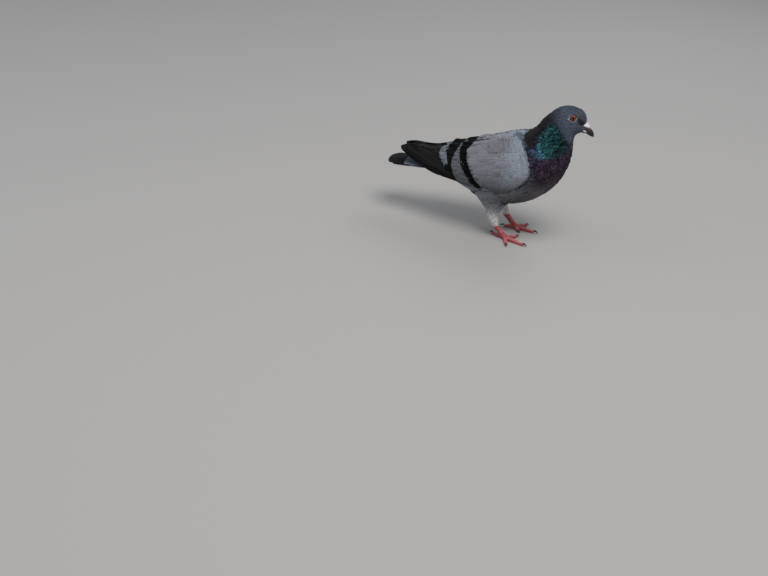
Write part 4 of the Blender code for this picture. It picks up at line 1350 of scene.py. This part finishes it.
def makeLegs():
    # shanks and feet: raised scutes across the front of the shank and along the top of each toe
    f, mesh = footForm, remeshed(skinForm["legs"], footForm["swell"], footForm["voxel"], footForm["ease"])
    normals, spots = vertexNormals(mesh), meshArrays(mesh)
    spots[:, 2] = np.where(spots[:, 2] < 0.0003, np.maximum(spots[:, 2], 0.0), spots[:, 2])
    mm = spots * 1000
    ring, weight, taper = np.zeros((3, len(mm)))
    for sideName, (sign, middle, toes) in f["feet"].items():
        mine = np.sign(mm[:, 1] - stanceY) == sign
        best = np.full(len(mm), 9e9)
        for toe in toes:
            centre, way, length = footAxes(sideName, toe)
            along = (mm[:, :2] - centre) @ way
            off = np.abs((mm[:, :2] - centre) @ np.array([-way[1], way[0]]))
            near = mine & (along > 1.5) & (off < best) & (off < 4.0)
            best = np.where(near, off, best)
            ring = np.where(near, along / 2.0, ring)
            taper = np.where(near, 0.25 * np.cos((along - 2.0) * 0.78) - 0.55 * along / length, taper)
            upper = np.clip(normals[:, 2] * 1.6 + 0.15, 0, 1)
            weight = np.where(near, upper * np.clip((along - 1.5) / 3, 0, 1), weight)
        up = mine & (mm[:, 2] > f["shankFrom"])
        ring = np.where(up, mm[:, 2] / 2.2, ring)
        ahead = np.clip(normals[:, 0] * 1.5 + 0.3, 0.0, 1)
        weight = np.where(up, ahead * np.clip((mm[:, 2] - f["shankFrom"]) / 2.0, 0, 1), weight)
    groove = np.clip(1 - np.abs(ring - np.floor(ring) - 0.5) * 2, 0, 1)
    lift = ((0.5 - groove ** 3) * 0.5 * weight + taper) / 1000 * (spots[:, 2] > 0.0006)
    return facesOf(mesh), spots + normals * lift[:, None], groove ** 2 * weight


def makeSkin():
    mesh, spots = fleshSurface(skinForm["nodes"])
    normals, at, owner = vertexNormals(mesh), placeOf(spots), ownersOf(spots)
    depth = np.where(at[:, 0] > skinForm["headFrom"], skinForm["headDepth"], skinForm["bodyDepth"])
    depth = depth * np.clip((fromEyes(spots) - 0.005) / 0.003, 0, 1)
    depth = depth * np.clip((np.linalg.norm(spots - billRoot, axis=1) - 0.003) / 0.004, 0.15, 1)
    low = owned(owner, "thigh") & (spots[:, 2] < skinForm["thighBelow"])
    spots = spots - normals * np.where(low, skinForm["thighDepth"], depth)[:, None]
    wing = owned(owner, "wing").astype(float)
    x, theta = spots[:, 0] * 1000, wingPlace(spots.T)[0]
    bars = [(x < edge(f"bar{which}Front", theta)) & (x > edge(f"bar{which}Rear", theta))
            for which in ("One", "Two")]
    kind = np.stack([wing, thighShare(spots, owner), wing * (bars[0] | bars[1])], 1)
    legFaces, legSpots, groove = makeLegs()
    plain, faces = np.zeros((len(legSpots), 3)), facesOf(mesh)
    whole = newMesh("skin", np.r_[spots, legSpots],
                    faces + [tuple(len(spots) + i for i in face) for face in legFaces],
                    skinMaterial(), place=np.r_[at, plain], kind=np.r_[kind, plain],
                    scute=np.r_[np.zeros(len(spots)), groove])
    whole.materials.append(scaleMaterial())
    whole.polygons.foreach_set("material_index", [0] * len(faces) + [1] * len(legFaces))
    finished(newObject("skin", whole), "slate_plumage", *skinForm["nodes"], *skinForm["legs"])


makeSkin()

clawForm = {
    "lengths": {"inner": 5.6, "middle": 7.4, "outer": 5.8, "hind": 6.4}, "thick": 1.3, "wide": 0.95,
    "steps": 16,
    "around": 16, "rise": 24.0, "bend": 96.0, "buried": 1.3, "low": 0.15,
    "dark": (.008, .007, .007), "pale": (.030, .026, .025), "roughness": 0.34, "grain": 500.0,
}


def hornMaterial():
    made, w, shader = newMaterial("clawHorn")
    streaks = w.noise(w.spot(), clawForm["grain"], 5.0, 0.65)
    colour = w.ramp(streaks, [(0.3, clawForm["dark"]), (0.75, clawForm["pale"])])
    w.fill(shader, {"Base Color": colour, "Roughness": streaks * 0.25 + (clawForm["roughness"] - 0.1),
                    "Specular IOR Level": 0.5, "Normal": w.bump(streaks, 0.00012)})
    return made


def makeClaws():
    # curved horn cones that leave the toe a little upwards and come down to the ground
    f, vertices, faces = clawForm, [], []
    nodes = [f"claw_{toe}_{side}" for side in ("right", "left")
             for toe in ("inner", "middle", "outer", "hind")]
    count = f["around"]
    t = np.linspace(0, 1, f["steps"])
    slopes = np.radians(f["rise"] - f["bend"] * t)
    radii = f["thick"] * (1 - t) ** 0.7 + 0.06
    for name in nodes:
        toe, sideName = name.split("_")[1:]
        centre, way, unusedLength = footAxes(sideName, toe)
        low, high = np.array(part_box(name)) * 500
        reach = (low + high)[:2] @ way - centre @ way
        half = abs(high - low)[:2] @ np.abs(way)
        ahead, up = (np.cumsum(turned(slopes)) * f["lengths"][toe] / len(t) for turned in (np.cos, np.sin))
        up = up - up[-1] + f["low"]
        across, way = np.array([-way[1], way[0], 0.0]), np.array([*way, 0.0])
        root = np.array([*centre, 0.0]) + way * (reach - half * 0.9 - f["buried"] + 1.2)
        start = len(vertices)
        for slope, radius, forward, rise in zip(slopes, radii, ahead, up):
            spot = root + way * forward + np.array([0, 0, max(rise, radius * 0.8)])
            tall = np.array([0, 0, math.cos(slope)]) - way * math.sin(slope)
            for angle in math.tau * np.arange(count) / count:
                off = across * math.cos(angle) * f["wide"] + tall * math.sin(angle)
                vertices.append(spot + radius * off)
        end = len(vertices) - count
        for a in range(start, end, count):
            faces += band(a, a + count, count)
        faces += [tuple(range(start, start + count))[::-1], tuple(range(end, end + count))]
    mesh = newMesh("claws", np.array(vertices) / 1000, faces, hornMaterial())
    facing(mesh)
    finished(newObject("claws", mesh), "claw_horn", *nodes)


makeClaws()

billForm = {
    # outer edge (x, z), cutting edge (x, z) and half width, from the face to the tip
    "upper": [(70.4, 163.4, 68.6, 159.2, 4.3), (72.4, 163.3, 71.6, 158.6, 3.9),
              (75.2, 162.4, 74.4, 157.8, 3.4),
              (78.0, 160.8, 77.0, 156.6, 2.9), (81.0, 158.2, 79.6, 154.9, 2.3),
              (82.8, 155.3, 81.4, 152.8, 1.6),
              (83.5, 152.3, 82.5, 151.1, 0.85), (83.2, 150.6, 82.9, 150.5, 0.3)],
    "lower": [(69.2, 153.0, 68.6, 158.9, 4.2), (71.9, 153.7, 71.7, 158.4, 3.8),
              (74.4, 153.4, 74.4, 157.6, 3.3),
              (77.0, 152.3, 77.0, 156.4, 2.6), (79.4, 151.4, 79.3, 154.8, 1.9),
              (80.9, 151.1, 80.8, 153.2, 1.2),
              (81.8, 151.3, 81.8, 152.3, 0.4)],
    # how far the inside is filled, and how square the sections are
    "inside": {"upper": 0.10, "lower": 0.25}, "fullness": {"upper": 0.80, "lower": 0.85},
    "stations": 30, "round": 14,
}


def billMaterial():
    made, w, shader = newMaterial("billHorn")
    fade, blend = w.fade, w.blend
    reach, height, lower = w.split(w.read("horn"))
    streaks = w.noise(w.spot(), 420.0, 5.0, 0.65)
    colour = w.ramp(streaks, [(0.3, (.011, .009, .011)), (0.75, (.036, .030, .034))])
    # paler horn at the corner of the gape and along the cutting edge
    pale = fade(reach, 0.34, 0.06) * fade(height, 0.75, 0.35)
    colour = blend(pale * 0.55, colour, (.12, .085, .095))
    seam = fade(reach, 0.50, 0.40) * fade(height, 0.55, 0.75)
    colour = blend(seam * (0.8 - lower), colour, (.12, .055, .068))
    flange = fade(reach, 0.36, 0.24) * (fade(height, 0.80, 0.55) * lower) * fade(reach, 0.04, 0.14)
    colour = blend(flange, colour, (.52, .50, .55))
    colour = blend(fade(height, 0.16, 0.0) * 0.35, colour, (.10, .085, .090))
    colour = blend(fade(reach, 0.86, 1.0, 0.0, 0.35), colour, (.075, .062, .064))
    w.fill(shader, {"Base Color": colour, "Roughness": streaks * 0.25 + 0.30, "Specular IOR Level": 0.4,
                    "Normal": w.bump(streaks, 0.00010)})
    return made


def catmull(rows, t):
    rows = np.asarray(rows, float)
    i = np.minimum(t.astype(int), len(rows) - 2)
    f = (t - i)[:, None]
    a, b, c, d = (rows[np.clip(i + k, 0, len(rows) - 1)] for k in (-1, 0, 1, 2))
    return b + 0.5 * f * (c - a + f * (2 * a - 5 * b + 4 * c - d + f * (3 * (b - c) + d - a)))


def makeBill(half, finish):
    # rings from cutting edge to cutting edge over the outside, closed by a shallow trough inside
    table, fullness = billForm[half], billForm["fullness"][half]
    rings = catmull(table, np.linspace(0, len(table) - 1, billForm["stations"]))
    verts, horn, faces = [], [], []
    turns = np.linspace(0, math.pi, billForm["round"] + 1)
    for share, (ox, oz, gx, gz, wide) in zip(np.arange(len(rings)) / (len(rings) - 1), rings):
        for turn in turns:
            high, across = math.sin(turn) ** 0.85, math.cos(turn)
            bulge = 1 + 0.05 * math.sin(turn) * (1 - share)
            out = math.copysign(abs(across) ** fullness, across) * wide * bulge
            verts.append((gx + (ox - gx) * high, out, gz + (oz - gz) * high))
            horn.append((share, high, float(half == "lower")))
        for across in (-0.6, 0.0, 0.6):
            rise = billForm["inside"][half] * (1 - abs(across))
            verts.append((gx + (ox - gx) * rise, across * wide, gz + (oz - gz) * rise))
            horn.append((share, 0, 0))
    count = len(turns) + 3
    last = (len(rings) - 1) * count
    for start in range(0, last, count):
        faces += band(start, start + count, count)
    for start, turned in ((0, 1), (last, -1)):
        verts.append(tuple(np.mean(verts[start:start + count], axis=0)))
        horn.append(horn[start])
        faces += [(len(verts) - 1, start + (i + 1) % count, start + i)[::turned] for i in range(count)]
    mesh = newMesh(half + "Bill", (np.array(verts) + stance) / 1000, faces, finish, horn=horn)
    facing(mesh)
    finished(newObject(half + "Bill", mesh), "bill_horn", "bill_" + half)


billFinish = billMaterial()
makeBill("upper", billFinish)
makeBill("lower", billFinish)

cereForm = {"at": (71.5, 2.1, 163.5), "radii": (5.5, 2.5, 2.4), "under": 0.55, "tilt": 15.0, "spread": -10.0,
            "bumps": 0.07, "slit": 0.16}


def cereMaterial():
    made, w, shader = newMaterial("cereSkin")
    powder = w.noise(w.spot(), 900.0, 6.0, 0.7)
    colour = w.ramp(powder, [(0.3, (.50, .44, .48)), (0.5, (.68, .64, .68)), (0.75, (.84, .82, .86))])
    # painted shade: the nostril's slit is dark, as inside an opening
    colour = w.blend(w.fade(w.read("slit", "Fac"), 0.2, 0.9), colour, (.10, .05, .055))
    w.fill(shader, {"Base Color": colour, "Roughness": 0.75, "Subsurface Weight": 0.12,
                    "Subsurface Radius": (0.0015, 0.0008, 0.0007), "Normal": w.bump(powder, 0.0004)})
    return made


def makeCere():
    # two swollen lobes side by side over the root of the bill, each with a slit nostril under its front edge
    f, lobe = cereForm, unitSphere("lobe", 40, 28)
    base, loops = meshArrays(lobe), facesOf(lobe)
    bpy.data.meshes.remove(lobe)
    verts, faces, slits = [], [], []
    for side in (-1, 1):
        ball = base * np.array([1, side, 1])
        ahead, out, high = ball.T
        # the front end narrows and the back end is drawn out to a point
        squeeze = np.where(ahead > 0, 1 - 0.10 * ahead ** 2, 1 - 0.35 * ahead ** 2)
        flat = squeeze * np.where(high < 0, f["under"], 1.0)
        shaped = ball * np.array(f["radii"]) * np.stack([np.ones(len(ball)), squeeze, flat], 1)
        shaped[:, 2] -= np.where(ahead > 0, 0.35 * ahead ** 2, 0.55 * ahead ** 2)
        slit = np.exp(-((ahead - 0.62) / 0.26) ** 2) * np.exp(-((high + 0.42) / 0.13) ** 2)
        slit = slit * (np.sign(out) == side)
        shaped = shaped * (1 - f["slit"] * slit[:, None])
        rough = np.sin(ahead * 19 + high * 7) * np.sin(high * 23 + out * 11) * f["bumps"]
        shaped = shaped + unit(shaped) * rough[:, None]
        spread = Matrix.Rotation(math.radians(f["spread"]) * side, 3, "Z")
        turn = np.array(spread @ Matrix.Rotation(math.radians(f["tilt"]), 3, "Y"))
        start = len(base) * len(verts)
        verts.append(shaped @ turn.T + np.array(f["at"]) * np.array([1, side, 1]) + stance)
        faces += [tuple(start + i for i in loop[::side]) for loop in loops]
        slits.append(slit)
    mesh = newMesh("cere", np.concatenate(verts) / 1000, faces, cereMaterial(), slit=np.concatenate(slits))
    facing(mesh)
    finished(newObject("cereLobes", mesh), "cere_skin", "cere")


makeCere()

eyeForm = {
    "rimRadius": 4.1, "gaze": (0.13, 0.17, 1.0),  # the pupil looks a little forwards and up
    "stops": [(0.0, (.002, .002, .002)), (0.40, (.002, .002, .002)), (0.45, (.165, .047, .012)),
              (0.52, (.185, .040, .010)), (0.74, (.130, .025, .008)), (0.92, (.100, .019, .008)),
              (1.0, (.075, .016, .008))],
}


def eyeMaterial():
    made, w, shader = newMaterial("eyeOrange")
    off = (w.noise(w.spot(), 1400.0, 4.0, 0.7) - 0.5) * 0.10 + w.read("iris", "Fac")
    w.fill(shader, {"Base Color": w.ramp(off, eyeForm["stops"]), "Roughness": 0.08, "Coat Weight": 0.3,
                    "Coat Roughness": 0.02, "Specular IOR Level": 0.25})
    return made


def makeEyes():
    finish = eyeMaterial()
    for sideName, sign, centre in eyes:
        low, high = np.array(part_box("eye_" + sideName))
        mesh = unitSphere("eye_" + sideName, 48, 32)
        spots = meshArrays(mesh)
        gaze = unit(np.array(eyeForm["gaze"]) * np.array([1, sign, 1]))
        toward = spots @ gaze
        off = np.linalg.norm(spots - toward[:, None] * gaze, axis=1)
        off = off * bodyForm["eyeRadius"] / eyeForm["rimRadius"]
        # the sphere's pole turns outwards
        turned = np.stack([spots[:, 0], sign * spots[:, 2], sign * spots[:, 1]], 1)
        setVertices(mesh, turned * ((high - low) / 2) + (low + high) / 2)
        putAttribute(mesh, "iris", np.where(toward > 0, off, 3.0))
        mesh.materials.append(finish)
        facing(mesh)
        finished(newObject("eyeball_" + sideName, mesh), "eye_orange", "eye_" + sideName)


makeEyes()

lidForm = {"radius": 4.02, "tube": 0.42, "out": 0.16, "bumps": 0.07, "corner": 1.9, "segments": 96,
           "around": 12,
           "cornerAt": 196, "topAt": 118, "foreAt": 20}


def lidMaterial():
    made, w, shader = newMaterial("lidSkin")
    inner, top = w.split(w.read("lid"))[:2]
    skin = w.noise(w.spot(), 1600.0, 4.0, 0.6)
    colour = w.ramp(skin, [(0.3, (.23, .215, .225)), (0.7, (.40, .38, .39))])
    colour = w.blend(w.fade(inner, 0.74, 0.96), colour, (.012, .010, .011))
    colour = w.blend(w.fade(top, 0.15, 0.7, 0.0, 0.8), colour, (.055, .058, .070))
    w.fill(shader, {"Base Color": colour, "Roughness": 0.6, "Subsurface Weight": 0.1,
                    "Subsurface Radius": (0.001, 0.0006, 0.0005), "Normal": w.bump(skin, 0.00015)})
    return made


def makeLids():
    # a narrow ring of bare beaded skin round each eye, drawn out a little at its hind corner
    f, finish = lidForm, lidMaterial()
    n, m = f["segments"], f["around"]
    degrees = np.arange(n) * 360 / n
    ways = np.stack([np.cos(np.radians(degrees)), np.zeros(n), np.sin(np.radians(degrees))], 1)
    for sideName, sign, centre in eyes:
        verts, marks = [], []
        outward = np.array([0.0, sign, 0.0])
        heights = []
        for way in ways:
            above = centre + way * (f["radius"] + 0.9) / 1000 + outward * 0.02
            hit = outerTree.ray_cast(Vector(above), Vector(-outward), 0.04)[0]
            heights.append((np.array(hit) - centre) @ outward if hit is not None else 0.002)
        for unused in range(6):
            heights = (np.roll(heights, 1) + np.array(heights) * 2 + np.roll(heights, -1)) / 4
        for k, (turn, way) in enumerate(zip(degrees, ways)):
            hind = math.exp(-((turn - f["cornerAt"]) / 12) ** 2) * f["corner"]
            top = max(0.0, 1 - abs(turn - f["topAt"]) / 58)
            fore = max(0.0, 1 - abs((turn + 180 - f["foreAt"]) % 360 - 180) / 65)
            tube = f["tube"] * (1 + f["bumps"] * 2 * math.sin(k * math.tau / 5)) * (1 + 0.4 * fore)
            for phi in math.tau * np.arange(m) / m:
                reach = tube + (0.9 * hind if math.cos(phi) > 0 else 0)
                r = f["radius"] + 0.25 * hind + reach * math.cos(phi)
                out = f["out"] + 0.14 * fore + f["tube"] * (0.75 + 0.35 * top) * math.sin(phi)
                verts.append(centre + way * r / 1000 + outward * (heights[k] + out / 1000))
                marks.append(((1 - math.cos(phi)) / 2, top, 0))
        faces = [face for k in range(n) for face in band(k * m, (k + 1) % n * m, m)]
        mesh = newMesh("lid_" + sideName, verts, faces, finish, lid=marks)
        facing(mesh)
        finished(newObject("lids_" + sideName, mesh), "cere_skin")


makeLids()

stageForm = {
    "floorHalf": 6.0, "floorHeight": -0.0002, "floorColour": (0.37, 0.36, 0.355),
    "sky": (0.90, 0.95, 1.0), "skyStrength": 0.42,
    # name, place, aim, size, power, colour
    "lights": (("keyLight", (0.55, -0.75, 2.1), (0, 0, 0.08), 1.3, 34.0, (1.0, 0.97, 0.93)),
               ("fillLight", (-1.5, -0.9, 1.1), (0, 0, 0.08), 1.6, 6.0, (0.92, 0.96, 1.0)),
               ("rimLight", (0.2, 1.5, 1.5), (0, 0, 0.1), 1.2, 8.0, (1.0, 1.0, 1.0))),
    "cameraAt": (0.3474, -1.2848, 0.575), "lens": 51.09, "right": (0.9203, 0.3817, 0.0855),
    "up": (-0.2459, 0.3945, 0.8854), "back": (0.3042, -0.8359, 0.4569),
}


def makeStage():
    half, low = stageForm["floorHalf"], stageForm["floorHeight"]
    made, w, shader = newMaterial("studioFloor")
    w.fill(shader, {"Base Color": stageForm["floorColour"], "Roughness": 0.9})
    corners = [(-half, -half, low), (half, -half, low), (half, half, low), (-half, half, low)]
    floor = newObject("floor", newMesh("floor", corners, [(0, 1, 2, 3)], made))
    world = bpy.data.worlds.new("studio")
    bpy.context.scene.world = world
    world.use_nodes = True
    Wiring(world.node_tree).fill(world.node_tree.nodes["Background"],
                                 {0: stageForm["sky"], 1: stageForm["skyStrength"]})
    for name, place, aim, size, power, colour in stageForm["lights"]:
        light = bpy.data.lights.new(name, "AREA")
        light.shape, light.size, light.energy, light.color = "DISK", size, power, colour
        lamp = newObject(name, light)
        lamp.location = place
        lamp.rotation_euler = (Vector(aim) - Vector(place)).to_track_quat("-Z", "Y").to_euler()
    camera = bpy.data.cameras.new("camera")
    camera.lens, camera.sensor_width, camera.sensor_fit = stageForm["lens"], 36.0, "HORIZONTAL"
    camera.clip_start, camera.clip_end = 0.05, 50.0
    eye = newObject("camera", camera)
    axes = Matrix([stageForm[name] for name in ("right", "up", "back")]).transposed()
    eye.matrix_world = Matrix.Translation(stageForm["cameraAt"]) @ axes.to_4x4()
    bpy.context.scene.camera = eye
    bpy.context.scene.view_settings.view_transform = "Standard"


makeStage()
for trio in vaneKinds.values():
    for each in trio:
        bpy.data.objects.remove(each)
print("stage: floor, light and camera")
